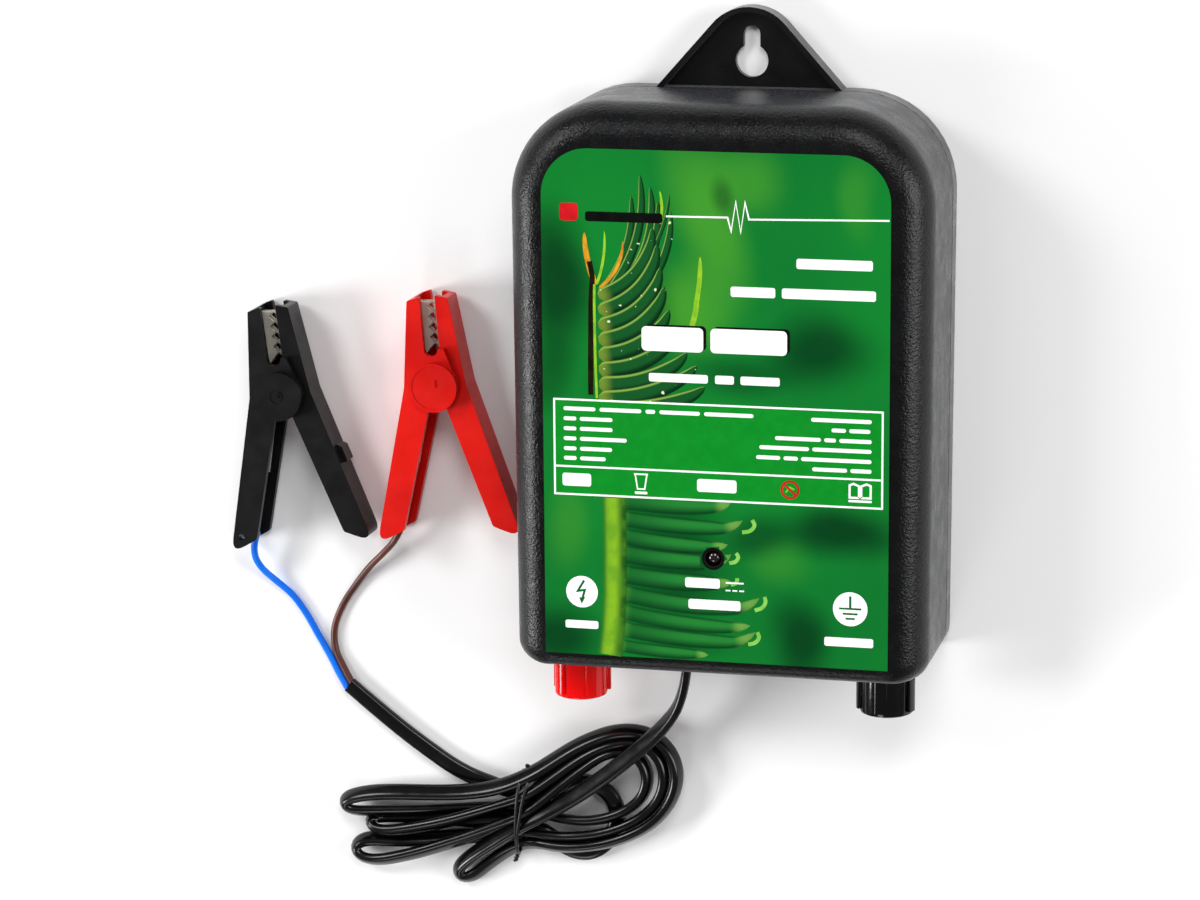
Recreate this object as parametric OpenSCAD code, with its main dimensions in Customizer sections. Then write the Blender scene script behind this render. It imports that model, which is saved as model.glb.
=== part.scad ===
// Battery fence energizer: moulded case on its back, two terminal knobs,
// and a tied flat cord that ends in two battery clips.
// X right, Y towards the hanger, Z out of the label. Millimetres.

/* [Case] */
// Width of the case near its top
case_w_top = 130; // [126:1:134]
// Width of the case at its bottom
case_w_bottom = 128.6; // [124:0.2:134]
// Height of the case without the hanger
case_h = 175; // [172:1:178]
// Depth from the back to the front face
case_d = 51; // [50:0.5:54]
// Wall thickness of both shells
wall = 2.2; // [1.8:0.1:2.6]
// Depth of the back cover
back_d = 8; // [7:0.5:9]
// Radius of the top corners
top_corner = 30; // [26:1:32]
// Radius of the bottom corners
bottom_corner = 7; // [6:0.5:9]
// Rounding of the front edge at the sides and the top
front_fillet = 11; // [9:0.5:12]
// Rounding of the front edge at the bottom
bottom_fillet = 4; // [3:0.5:5]

/* [Hanger] */
// Reach of the hanger above the middle of the case
hanger_reach = 112.5; // [111:0.5:116]
// Sideways place of the hanger
hanger_x = 1.5; // [-2:0.5:2]
// Radius of the keyhole's round part
keyhole_r = 5.1; // [4.5:0.1:5.5]
// Width of the keyhole's slot
keyhole_slot = 5.2; // [4:0.1:6]

/* [Terminals] */
// Distance of each terminal from the middle
terminal_x = 48.7; // [47:0.1:50]
// Height of the terminals above the back
terminal_z = 25; // [24:0.5:27]
// Radius of the threaded studs
stud_r = 3; // [2.5:0.1:3.2]
// Radius of a knob's core
knob_r = 8.3; // [7.8:0.1:8.6]
// Radius over a knob's ribs
rib_r = 9.5; // [9:0.1:9.6]
// Reach of the knobs below the middle of the case
knob_reach = 103; // [102:0.5:105]

/* [Clips] */
// Thickness of the fixed half of a clip
clip_t = 15; // [14:0.5:17]
// Length of a jaw from the pivot
jaw_l = 29; // [27:1:31]
// Length of a handle from the pivot
handle_l = 52; // [48:1:54]
// Angle of each handle from the clip's own axis
handle_a = 21.5; // [20:0.5:24]

/* [Cord] */
// Diameter of the round stand-in for the flat cord
cord_d = 5; // [4.5:0.1:5.5]
// Diameter of the two single wires
wire_d = 2.2; // [2:0.1:2.4]

/* [Hidden] */

$fn = 48;
fit = 0.05;                       // running clearance of shafts and studs
part_gap = 0.3;                   // gap between bodies that move past each other
eps = 0.01;
mid_y = (knob_reach - hanger_reach) / 2;
top_y = mid_y + case_h / 2;
bottom_y = mid_y - case_h / 2;
seam_t = 0.4;                     // height of the seal that shows in the parting line
steps_top = 12;                   // straight pieces in a top corner
steps_bottom = 6;                 // straight pieces in a bottom corner
steps_fillet = 7;                 // rings over the front rounding

// Label
label_w = 106.6;
label_h = 156.8;
label_y = mid_y - 4.2;
label_t = 0.3;
label_corner = 14.5;
led_x = -0.5;
led_y = mid_y - 50.3;
led_hole_r = 2.8;

// Hanger
hanger_arc = 15;
hanger_angle = 48.3;
hanger_web = 2.5;
hanger_rim = 1.6;
keyhole_y = mid_y + 95.5;
slot_top_y = mid_y + 106.3;

// Case screws and the circuit board
screw_places = [[44, mid_y + 72], [-44, mid_y + 72], [57, mid_y - 56], [-57, mid_y - 56]];
post_r = 4;
screw_r = 1.5;
screw_l = 20;
head_r = 3;
head_t = 1.8;
board_z = 12;
board_t = 1.6;
board_top = board_z + board_t;
board_w = 92;
board_h = 112;
board_y = mid_y - 9;
board_places = [for (sx = [-1, 1], sy = [-1, 1]) [sx * 41, board_y + sy * 51]];

// Terminal stack, from the case's bottom face outwards along -Y
collar_t = 2;
collar_r = 9;
neck_r = 5;
neck_l = 5;
washer_t = 1.2;
washer_y = bottom_y - collar_t - part_gap;
knob_top_y = washer_y - washer_t - part_gap;
knob_end_y = mid_y - knob_reach;
knob_wall = 2.4;
nut_af = 10;
nut_t = 5;
tag_t = 0.8;

// Transformer
trafo_y = mid_y + 14;
trafo_z = 30;
core_w = 48;
core_h = 40;
core_t = 14;
leg_w = 16;
window_w = 8;
window_h = 24;

// Clips: pivot places and turns
black_pivot = [-149.5, -18];
black_turn = 7;
red_pivot = [-98, -13];
red_turn = 4.5;
clip_z = 1;                       // height of a clip's lower face; its boss rests on the surface
disc_r = 8;
flange_t = 2;
half_gap = part_gap;
rivet_r = 1.5;
slot_half = 2.2;                  // half the gap between the two insulated jaws
tooth_pitch = 3.3;
teeth_h = 3.4;                    // height of a toothed strip

// Cord routes, chosen by hand
exit_x = -17;
exit_z = 13;
feed_route = [
    [-17, -88.6, 13], [-17, -95, 13], [-17, -101, 12.4], [-17.6, -107, 9.5], [-19, -112, 6],
    [-21.5, -117, 4.4], [-25, -122, 4], [-30, -127.5, 5]
];
lead_out_route = [
    [-92, -145, 2.6], [-98, -141.5, 2.6], [-105, -137, 2.6], [-115, -130, 2.6],
    [-124, -123, 2.6], [-132, -116.5, 2.6]
];
blue_route = [
    [-132.9, -117.3, 2.6], [-135.4, -113.5, 2], [-139, -107, 1.3], [-143, -100, 1.3], [-147, -93, 1.3],
    [-151.5, -87, 1.5], [-157, -82, 2.6], [-160.5, -78, 4.5], [-162, -73.5, 6.8], [-161.8, -69.5, 8],
    [-160.6, -65, 8]
];
brown_route = [
    [-131.4, -115.4, 2.6], [-134, -111, 2], [-137, -105, 1.3], [-137.4, -98, 1.3], [-134.5, -90, 1.3],
    [-130, -83, 1.5], [-124.5, -76, 2.8], [-119, -70.5, 5], [-114.8, -66, 7.4], [-112.2, -61.5, 8],
    [-110.6, -57, 8]
];
power_route = [[0, -88.4, 0], [0, -84, 1], [1, -79, 3], [2, -74.5, 4], [2.4, -70.5, 3.4], [2.4, -66, 1.6]];
// Lead from a terminal's tag to the transformer, for the right-hand side
lead_route = [
    [48.7, -86.3, 34], [48.8, -82, 34.4], [49.5, -76, 36], [50, -66, 37], [50, -40, 38], [49, -10, 40],
    [42, 4, 41], [31, 9, 41.5], [22, 9.25, 41.5], [15.6, 9.25, 41]
];
hank_h = 10.5;
tie_x = -73.3;
tie_y = -154.2;
tie_a = -6.7;
tie_w = 24;
tie_t = 1;

// ---------- helpers ----------
function arc(c, r, a0, a1, n) =
    [for (i = [0:n]) let (a = a0 + (a1 - a0) * i / n) [c[0] + r * cos(a), c[1] + r * sin(a)]];

// Outline of the case: side is the inset at the sides and the top, low the inset at the bottom
function case_outline(side, low) =
    let (
        wt = case_w_top / 2, wb = case_w_bottom / 2,
        rb = max(bottom_corner - low, 1), rt = top_corner - side,
        xt = wt - top_corner, yt = top_y - top_corner,
        xb = wb - side - rb, yb = bottom_y + low + rb
    )
    concat(
        arc([xb, yb], rb, -90, 0, steps_bottom), arc([xt, yt], rt, 0, 90, steps_top),
        arc([-xt, yt], rt, 90, 180, steps_top), arc([-xb, yb], rb, 180, 270, steps_bottom)
    );

function fillet_inset(r, turn, z) =
    let (d = z - (case_d - r)) d <= 0 ? 0 : turn - sqrt(max(pow(turn, 2) - pow(d, 2), 0));

function at_z(outline, z) = [for (p = outline) [p[0], p[1], z]];

// Closed solid through a stack of rings with the same number of points
module loft(rings) {
    n = len(rings[0]);
    m = len(rings);
    points = [for (ring = rings, p = ring) p];
    sides = [for (k = [0:m - 2], i = [0:n - 1]) let (j = (i + 1) % n)
        each [[k * n + i, k * n + n + i, k * n + j], [k * n + j, k * n + n + i, k * n + n + j]]];
    low = [for (i = [0:n - 1]) i];
    high = [for (i = [n - 1:-1:0]) (m - 1) * n + i];
    polyhedron(points, concat(sides, [low, high]), convexity = 6);
}

function unit(v) = v / norm(v);
function tangent(p, i) = unit(p[min(i + 1, len(p) - 1)] - p[max(i - 1, 0)]);
function spline(a, b, c, d, t) =
    0.5 * (2 * b + (c - a) * t + (2 * a - 5 * b + 4 * c - d) * t * t
        + (3 * b - a - 3 * c + d) * t * t * t);
// Smooth path through the route's points, with cuts steps in each stretch
function smooth(p, cuts) = concat(
    [for (i = [0:len(p) - 2], k = [0:cuts - 1])
        spline(p[max(i - 1, 0)], p[i], p[i + 1], p[min(i + 2, len(p) - 1)], k / cuts)],
    [p[len(p) - 1]]);

// Round tube swept along a route
module tube(route, d, sides = 8, cuts = 1) {
    path = smooth(route, cuts);
    rings = [for (i = [0:len(path) - 1])
        let (
            t = tangent(path, i),
            side = unit(cross(t, abs(t[2]) > 0.9 ? [1, 0, 0] : [0, 0, 1])),
            up = cross(side, t)
        )
        [for (k = [0:sides - 1]) path[i]
            + d / 2 * (cos(360 * k / sides) * side + sin(360 * k / sides) * up)]];
    loft(rings);
}

module along_y(x, y, z) translate([x, y, z]) rotate([90, 0, 0]) children();

module round_box(w, h, t, r) linear_extrude(t) polygon(concat(
    arc([w / 2 - r, -h / 2 + r], r, -90, 0, 4), arc([w / 2 - r, h / 2 - r], r, 0, 90, 4),
    arc([-w / 2 + r, h / 2 - r], r, 90, 180, 4), arc([-w / 2 + r, -h / 2 + r], r, 180, 270, 4)));

module screw(r, l, head, thick) difference() {
    union() {
        cylinder(r = head, h = thick);
        translate([0, 0, thick - eps]) cylinder(r = r, h = l - thick);
    }
    for (a = [0, 90]) rotate(a) translate([-head * 0.6, -0.4, -1]) cube([head * 1.2, 0.8, 1.9]);
}

// ---------- case ----------
module shell_outside() loft(concat(
    [at_z(case_outline(0, 0), back_d)],
    [for (k = [0:steps_fillet])
        let (z = case_d - front_fillet + front_fillet * sin(90 * k / steps_fillet))
        at_z(case_outline(fillet_inset(front_fillet, front_fillet, z),
            fillet_inset(bottom_fillet, bottom_fillet, z)), z)]));

module shell_inside() {
    r = front_fillet - wall;
    steps = steps_fillet - 2;
    loft(concat(
        [at_z(case_outline(wall, wall), back_d - 1)],
        [for (k = [0:steps])
            let (a = 90 * k / steps, z = case_d - front_fillet + r * sin(a))
            at_z(case_outline(wall + r * (1 - cos(a)), wall + 0.2 * k), z)]));
}

module front_shell() color("#202225") difference() {
    shell_outside();
    difference() {
        shell_inside();
        for (p = screw_places) translate([p[0], p[1], back_d]) cylinder(r = post_r, h = case_d);
    }
    for (p = screw_places) translate([p[0], p[1], back_d - 1]) cylinder(r = screw_r + fit, h = screw_l);
    for (s = [-1, 1]) along_y(s * terminal_x, bottom_y + wall + 1, terminal_z)
        cylinder(r = neck_r + fit, h = wall + 2);
    along_y(exit_x, bottom_y + wall + 1, exit_z) cylinder(r = 4 + fit, h = wall + 2);
    translate([led_x, led_y, case_d - wall - 2]) cylinder(r = led_hole_r + 1, h = wall + 3);
}

module hanger_plate(inset, low) {
    c = [hanger_x, mid_y + hanger_reach - hanger_arc];
    r = hanger_arc - inset;
    a = 90 - hanger_angle;
    run = (c[1] + r * sin(a) - low) / tan(hanger_angle);
    polygon(concat(
        [[c[0] + r * cos(a) + run, low]], arc(c, r, a, 180 - a, 16),
        [[c[0] - r * cos(a) - run, low]]));
}

module back_cover() color("#1c1e20") difference() {
    union() {
        difference() {
            linear_extrude(back_d - seam_t) polygon(case_outline(0, 0));
            translate([0, 0, wall]) linear_extrude(back_d) polygon(case_outline(wall, wall));
        }
        linear_extrude(hanger_web) hanger_plate(0, top_y - 1);
        linear_extrude(back_d - seam_t) difference() {
            hanger_plate(0, top_y - 1);
            hanger_plate(hanger_rim, top_y - 2);
        }
        for (p = screw_places) translate([p[0], p[1], wall - eps])
            cylinder(r = post_r, h = back_d - seam_t - wall + eps);
        for (p = board_places) translate([p[0], p[1], wall - eps])
            cylinder(r = 3, h = board_z - wall + eps);
    }
    for (p = screw_places) {
        translate([p[0], p[1], -1]) cylinder(r = screw_r + 0.2, h = back_d + 2);
        translate([p[0], p[1], -1]) cylinder(r = head_r + 0.2, h = 1 + 0.3 + head_t);
    }
    for (p = board_places) translate([p[0], p[1], wall + 1]) cylinder(r = 1.2 + fit, h = board_z);
    translate([hanger_x, keyhole_y, -1]) cylinder(r = keyhole_r, h = hanger_web + 2);
    translate([hanger_x, slot_top_y - keyhole_slot / 2, -1])
        cylinder(r = keyhole_slot / 2, h = hanger_web + 2);
    translate([hanger_x - keyhole_slot / 2, keyhole_y, -1])
        cube([keyhole_slot, slot_top_y - keyhole_slot / 2 - keyhole_y, hanger_web + 2]);
}

module case_seal() color("#101010") translate([0, 0, back_d - seam_t])
    linear_extrude(seam_t) difference() {
        polygon(case_outline(0.7, 0.7));
        polygon(case_outline(1.9, 1.9));
    }

module case_screws() color("silver")
    for (p = screw_places) translate([p[0], p[1], 0.3]) screw(screw_r, screw_l, head_r, head_t);

module front_label() color("#1f9a34") difference() {
    w = label_w / 2;
    h = label_h / 2;
    translate([0, label_y, case_d]) linear_extrude(label_t) polygon(concat(
        [[-w, -h], [w, -h]], arc([w - label_corner, h - label_corner], label_corner, 0, 90, 10),
        arc([-w + label_corner, h - label_corner], label_corner, 90, 180, 10)));
    translate([led_x, led_y, case_d - 1]) cylinder(r = led_hole_r, h = 3);
}

// ---------- circuit ----------
module circuit_board() color("#0d5c33") difference() {
    translate([-board_w / 2, board_y - board_h / 2, board_z]) cube([board_w, board_h, board_t]);
    for (p = board_places) translate([p[0], p[1], board_z - 1]) cylinder(r = 1.5, h = 4);
}

module board_screws() color("silver")
    for (p = board_places) translate([p[0], p[1], board_top + 1.6]) mirror([0, 0, 1])
        screw(1.2, 8, 2.4, 1.6);

module status_led() color("#3a1010") translate([led_x, led_y, 0]) {
    translate([0, 0, case_d - 8.5]) cylinder(r = 2.5, h = 6);
    translate([0, 0, case_d - 2.5]) sphere(r = 2.5);
    for (s = [-1, 1]) translate([s * 1.27 - 0.25, -0.25, board_top])
        cube([0.5, 0.5, case_d - 8.5 - board_top + eps]);
}

module led_holder() color("#151515") translate([led_x, led_y, 0]) difference() {
    union() {
        translate([0, 0, case_d - wall - 4]) cylinder(r = 5, h = 4);
        translate([0, 0, case_d - wall - eps]) cylinder(r = led_hole_r + 1 - fit, h = wall);
    }
    translate([0, 0, case_d - wall - 5]) cylinder(r = 2.5 + fit, h = 8);
}

module in_trafo() translate([0, trafo_y, trafo_z]) children();

module transformer_core() color("#55585c") in_trafo() translate([0, 0, -core_t / 2]) difference() {
    translate([-core_w / 2, -core_h / 2, 0]) cube([core_w, core_h, core_t]);
    for (s = [-1, 1]) translate([s * (leg_w + window_w) / 2 - window_w / 2, -window_h / 2, -1])
        cube([window_w, window_h, core_t + 2]);
}

// Rectangular sleeve about the transformer's Y axis
module sleeve(w, h, in_w, in_h, l, r) rotate([90, 0, 0]) translate([0, 0, -l / 2]) difference() {
    round_box(w, h, l, r);
    translate([-in_w / 2, -in_h / 2, -1]) cube([in_w, in_h, l + 2]);
}

module transformer_bobbin() color("#d8d2c0") in_trafo() {
    sleeve(18.4, 16.4, 16.2, 14.2, 23.6, 0.5);
    for (s = [-1, 1]) translate([0, s * 11.4, 0]) sleeve(31.4, 29.4, 16.2, 14.2, 0.9, 1);
}

module primary_winding() color("#b5652c") in_trafo() sleeve(24, 22, 18.5, 16.5, 21.6, 2);

module secondary_winding() color("#9c4a22") in_trafo() sleeve(31, 29, 24.1, 22.1, 21.6, 3);

module transformer_strap() color("silver") in_trafo() translate([0, -15, 0]) difference() {
    translate([-core_w / 2 - 1, -3, board_top - trafo_z])
        cube([core_w + 2, 6, core_t / 2 + 1 - board_top + trafo_z]);
    translate([-core_w / 2 - 0.02, -4, board_top - trafo_z - 1])
        cube([core_w + 0.04, 8, core_t / 2 + 1.02 - board_top + trafo_z]);
}

module storage_capacitor() color("#2c57a0") translate([-29, mid_y - 34, board_top])
    round_box(28, 15, 24, 1.5);

module filter_capacitors() color("#26303f")
    for (x = [-36, -22]) translate([x, mid_y - 52, board_top]) difference() {
        cylinder(r = 5.5, h = 17);
        translate([0, 0, 3]) rotate_extrude() translate([5.9, 0]) circle(r = 0.8, $fn = 24);
    }

module heat_sink() color("#8f9498") translate([15, mid_y - 42, board_top]) {
    cube([28, 2, 24]);
    for (i = [0:6]) translate([i * 4.3, 1.9, 0]) cube([1.6, 8, 24]);
}

module thyristor() color("#1a1a1a") translate([29, mid_y - 42, board_top]) {
    translate([-5, -1.3, 8]) cube([10, 1.3, 15]);
    translate([-5, -4.5, 8]) cube([10, 3.3, 9]);
    for (i = [-1:1]) translate([i * 2.5 - 0.4, -3.2, 0]) cube([0.8, 0.6, 8.1]);
}

module control_chip() color("#161616") translate([0, mid_y - 26, board_top]) {
    translate([-5, -3.2, 1]) cube([10, 6.4, 3]);
    for (i = [0:7], s = [-1, 1]) translate([i * 1.25 - 4.6, s * 3.6 - 0.4, 0]) cube([0.5, 0.8, 1.6]);
}

module axial_part(x, y, r, l) translate([x, y, board_top + r + 0.4]) rotate([0, 90, 0]) {
    translate([0, 0, -l / 2]) cylinder(r = r, h = l, $fn = 24);
    translate([0, 0, -l / 2 - 2]) cylinder(r = 0.35, h = l + 4, $fn = 16);
    for (s = [-1, 1]) translate([0, 0, s * (l / 2 + 1.8)]) rotate([0, 90, 0])
        cylinder(r = 0.35, h = r + 0.4, $fn = 16);
}

module resistors() color("#c9b183") for (i = [0:4]) axial_part(-2, mid_y - 36 - i * 4, 1.2, 6.5);

module diodes() color("#222222") for (i = [0:3]) axial_part(-30, mid_y - 8 + i * 5, 1.4, 5);

module fuse() color("#c8d4d6") translate([31, mid_y - 13, board_top + 5]) rotate([0, 90, 0]) {
    translate([0, 0, -7.5]) cylinder(r = 2.3, h = 15);
    for (s = [-1, 1]) translate([0, 0, s * 7.5 - 2.5]) cylinder(r = 2.6, h = 5);
}

module fuse_clips() color("#b9a45a") for (s = [-1, 1]) translate([31 + s * 7.5, mid_y - 13, board_top]) {
    translate([-1.5, -3.2, 0]) cube([3, 6.4, 1.2]);
    for (t = [-1, 1]) translate([-1.5, t * 2.95 - 0.3, 0]) cube([3, 0.6, 7]);
}

module choke_core() color("#3b3b3e") translate([22, mid_y - 54, board_top]) rotate_extrude()
    polygon([[0, 0], [7, 0], [7, 1.5], [3, 1.5], [3, 9.5], [7, 9.5], [7, 11], [0, 11]]);

module choke_winding() color("#b5652c") translate([22, mid_y - 54, board_top]) rotate_extrude()
    polygon([[3, 1.5], [6.2, 1.5], [6.4, 5.5], [6.2, 9.5], [3, 9.5]]);

module power_leads() for (s = [-1, 1]) color(s < 0 ? "#1a56d6" : "#5a3424")
    translate([exit_x + s * 1.3, 0, exit_z]) tube([for (p = power_route) [s * p[0], p[1], p[2]]], 1.8);

module terminal_lead(side) tube([for (p = lead_route) [side * p[0], p[1], p[2]]], 2.2, cuts = 2);
module fence_lead() color("#b81818") terminal_lead(-1);
module earth_lead() color("#181818") terminal_lead(1);

module cord_grommet() color("#141414") along_y(exit_x, bottom_y + wall + 1.5, exit_z) difference() {
    union() {
        cylinder(r = 4, h = wall + 2);
        cylinder(r = 5, h = 1.5 - part_gap);
        translate([0, 0, wall + 1.5]) cylinder(r1 = 5, r2 = 3.6, h = 5.25);
    }
    translate([0, 0, -1]) cylinder(r = cord_d / 2 + fit, h = 12);
}

// ---------- terminals ----------
module collar(x) along_y(x, bottom_y, terminal_z) difference() {
    union() {
        cylinder(r = collar_r, h = collar_t);
        translate([0, 0, -neck_l]) cylinder(r = neck_r, h = neck_l + eps);
    }
    translate([0, 0, -neck_l - 1]) cylinder(r = stud_r + fit, h = neck_l + collar_t + 2);
}

module stud(x) along_y(x, bottom_y + 12.5, terminal_z) cylinder(r = stud_r, h = 12.5 + 11.5);

module tag(x, s) along_y(x, bottom_y + neck_l + tag_t, terminal_z) difference() {
    union() {
        cylinder(r = 6, h = tag_t);
        translate([-1.6, 0, 0]) cube([3.2, 10.2, tag_t]);
    }
    translate([0, 0, -1]) cylinder(r = stud_r + fit, h = tag_t + 2);
}

module nut(x) along_y(x, bottom_y + neck_l + tag_t + nut_t, terminal_z) difference() {
    cylinder(r = nut_af / 2 / cos(30), h = nut_t, $fn = 6);
    translate([0, 0, -1]) cylinder(r = stud_r + fit, h = nut_t + 2);
}

module washer(x) along_y(x, washer_y, terminal_z) difference() {
    cylinder(r = 7.5, h = washer_t);
    translate([0, 0, -1]) cylinder(r = stud_r + fit, h = washer_t + 2);
}

module knob(x, turn) along_y(x, knob_top_y, terminal_z) rotate(turn) {
    l = knob_top_y - knob_end_y;
    difference() {
        union() {
            cylinder(r = knob_r, h = l - 1);
            translate([0, 0, l - 1 - eps]) cylinder(r1 = knob_r, r2 = knob_r - 1, h = 1 + eps);
            for (i = [0:11]) rotate(i * 30) translate([knob_r - 0.1, 0, 0])
                cylinder(r = rib_r - knob_r + 0.1, h = l - 1.6, $fn = 24);
        }
        translate([0, 0, -1]) cylinder(r = stud_r + fit, h = l - knob_wall + 1);
    }
}

module fence_collar() color("#232323") collar(-terminal_x);
module fence_stud() color("silver") stud(-terminal_x);
module fence_nut() color("silver") nut(-terminal_x);
module fence_tag() color("#c7b26a") tag(-terminal_x);
module fence_washer() color("silver") washer(-terminal_x);
module fence_knob() color("#dd1111") knob(-terminal_x, 8);
module earth_collar() color("#232323") collar(terminal_x);
module earth_stud() color("silver") stud(terminal_x);
module earth_nut() color("silver") nut(terminal_x);
module earth_tag() color("#c7b26a") tag(terminal_x);
module earth_washer() color("silver") washer(terminal_x);
module earth_knob() color("#1b1b1b") knob(terminal_x, -4);

// ---------- battery clips ----------
function polar(l, a) = [l * sin(a), -l * cos(a)];
function mirrored(p, s) = [for (q = p) [s * q[0], q[1]]];

// Side outline of a clip half with its jaw up and its handle down; in is the inset of its outer wall
function half_outline(in) =
    let (end = polar(handle_l, -handle_a), side = [cos(handle_a), sin(handle_a)])
    [
        [-slot_half, jaw_l], [-6.4 + in, jaw_l - 1.2], [-9.4 + in, 0],
        end - (5 - in) * side, end + 5 * side + [0, 0.4], [-2.6, -7.4], [-0.6, 0], [-slot_half, 8.6]
    ];

module clip_half(s, z0, z1, ear_r) translate([0, 0, z0]) difference() {
    union() {
        linear_extrude(z1 - z0) polygon(mirrored(half_outline(0), s));
        for (z = [0, z1 - z0 - flange_t]) translate([0, 0, z]) cylinder(r = ear_r, h = flange_t);
    }
    translate([0, 0, flange_t]) linear_extrude(z1 - z0 - 2 * flange_t)
        polygon(concat([[s * 9, -60], [s * 9, 40]], mirrored([
            [-slot_half - 2, jaw_l + 10], [-6.4 + flange_t, jaw_l - 3], [-9.4 + flange_t, 0],
            polar(handle_l + 4, -handle_a) - (5 - flange_t) * [cos(handle_a), sin(handle_a)]], s)));
}

module placed(pivot, turn) translate([pivot[0], pivot[1], clip_z]) rotate(turn) children();

module fixed_half() difference() {
    union() {
        clip_half(1, 0, clip_t, disc_r);
        for (z = [-clip_z, clip_t]) translate([0, 0, z]) cylinder(r = disc_r, h = clip_z);
    }
    translate([0, 0, -5]) cylinder(r = rivet_r, h = clip_t + 10);
}

module moving_half() difference() {
    low = flange_t + half_gap;
    clip_half(-1, low, clip_t - low, disc_r - 1.4);
    translate([0, 0, -5]) cylinder(r = rivet_r + fit, h = clip_t + 10);
}

module rivet() {
    translate([0, 0, -clip_z + 0.2]) cylinder(r = rivet_r, h = clip_t + 2 * clip_z);
    translate([0, 0, clip_t + clip_z]) cylinder(r = 2.4, h = 0.6);
}

// Toothed strip inside a jaw: two toothed flanges joined by a web along the jaw's outer wall
module teeth(s) {
    strip_t = 0.8;
    low = (clip_t - teeth_h) / 2;
    tip_y = jaw_l - 2.4;
    for (z = [low, low + teeth_h - strip_t]) translate([0, 0, z]) linear_extrude(strip_t)
        polygon(mirrored(concat(
            [[-3.4, 9.6], [-6.2, 9.6], [-4.2, tip_y]],
            [for (i = [0:4]) each [
                [-part_gap / 2, tip_y - 0.2 - i * tooth_pitch],
                [-1.7, tip_y - 0.2 - (i + 0.5) * tooth_pitch]]]), s));
    translate([0, 0, low]) linear_extrude(teeth_h)
        polygon(mirrored([[-6.2, 9.6], [-5.4, 9.6], [-3.4, tip_y], [-4.2, tip_y]], s));
}

// The fixed strip's web runs on down the handle to the wire
module fixed_teeth() union() {
    teeth(1);
    translate([0, 0, (clip_t - teeth_h) / 2]) linear_extrude(teeth_h) polygon([
        [-6.2, 9.7], [-5.4, 9.7], [-6.5, 0], [-18.4, -43], [-19.2, -42.8], [-7.3, 0]]);
}
module moving_teeth() teeth(-1);

// Torsion spring: a leg in the fixed handle, two and a half turns about the rivet, and a short leg
module clip_spring() {
    wire = 1.2;
    coil_r = 3;
    low = 5.9;
    rise = 3.2;
    steps = 30;
    tube(concat(
        [[-10.5, -26, low], [-7, -13, low]],
        [for (i = [0:steps]) let (a = 180 - 30 * i)
            [coil_r * cos(a), coil_r * sin(a), low + rise * i / steps]],
        [[4.2, -8, low + rise]]), wire);
}

module black_clip_fixed_half() color("#232323") placed(black_pivot, black_turn) fixed_half();
module black_clip_moving_half() color("#262626") placed(black_pivot, black_turn) moving_half();
module black_clip_rivet() color("silver") placed(black_pivot, black_turn) rivet();
module black_clip_spring() color("silver") placed(black_pivot, black_turn) clip_spring();
module black_clip_fixed_teeth() color("#c9c2b8") placed(black_pivot, black_turn) fixed_teeth();
module black_clip_moving_teeth() color("#c9c2b8") placed(black_pivot, black_turn) moving_teeth();
module red_clip_fixed_half() color("#e02818") placed(red_pivot, red_turn) fixed_half();
module red_clip_moving_half() color("#d82414") placed(red_pivot, red_turn) moving_half();
module red_clip_rivet() color("silver") placed(red_pivot, red_turn) rivet();
module red_clip_spring() color("silver") placed(red_pivot, red_turn) clip_spring();
module red_clip_fixed_teeth() color("#c9c2b8") placed(red_pivot, red_turn) fixed_teeth();
module red_clip_moving_teeth() color("#c9c2b8") placed(red_pivot, red_turn) moving_teeth();

// ---------- cord ----------
module cord_feed() color("#151515") tube(feed_route, cord_d, 10, 2);

module at_tie() translate([tie_x, tie_y, 0]) rotate(tie_a) children();

module cord_hank() color("#1a1a1a") difference() {
    linear_extrude(hank_h) union() {
        hull() {
            translate([-126.5, -158]) circle(r = 10, $fn = 32);
            translate([-127, -168.5]) circle(r = 9.5, $fn = 32);
            translate([-95, -174]) circle(r = 6, $fn = 32);
            translate([-68, -154]) circle(r = 12, $fn = 32);
        }
        hull() {
            translate([-36, -141]) circle(r = 15.5, $fn = 32);
            translate([-50, -151]) circle(r = 17, $fn = 32);
            translate([-73, -154]) circle(r = 12, $fn = 32);
        }
    }
    at_tie() translate([-1, -20, -1]) difference() {
        cube([2, 40, hank_h + 2]);
        translate([-1, 20 - tie_w / 2, 1 + tie_t]) cube([4, tie_w, hank_h - 2 * tie_t]);
    }
}

module cord_tie() color("#111111") at_tie() translate([-0.8, 0, hank_h / 2]) rotate([90, 0, 90])
    difference() {
        round_box(tie_w + 3.4, hank_h, 1.6, 3);
        translate([0, 0, -1]) round_box(tie_w + 0.2, hank_h - 2 * tie_t + 0.2, 4, 0.3);
    }

module cord_lead_out() color("#151515") tube(lead_out_route, cord_d, 10, 1);
module blue_wire() color("#1877f0") tube(blue_route, wire_d, 8, 2);
module brown_wire() color("#5b3322") tube(brown_route, wire_d, 8, 2);

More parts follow.
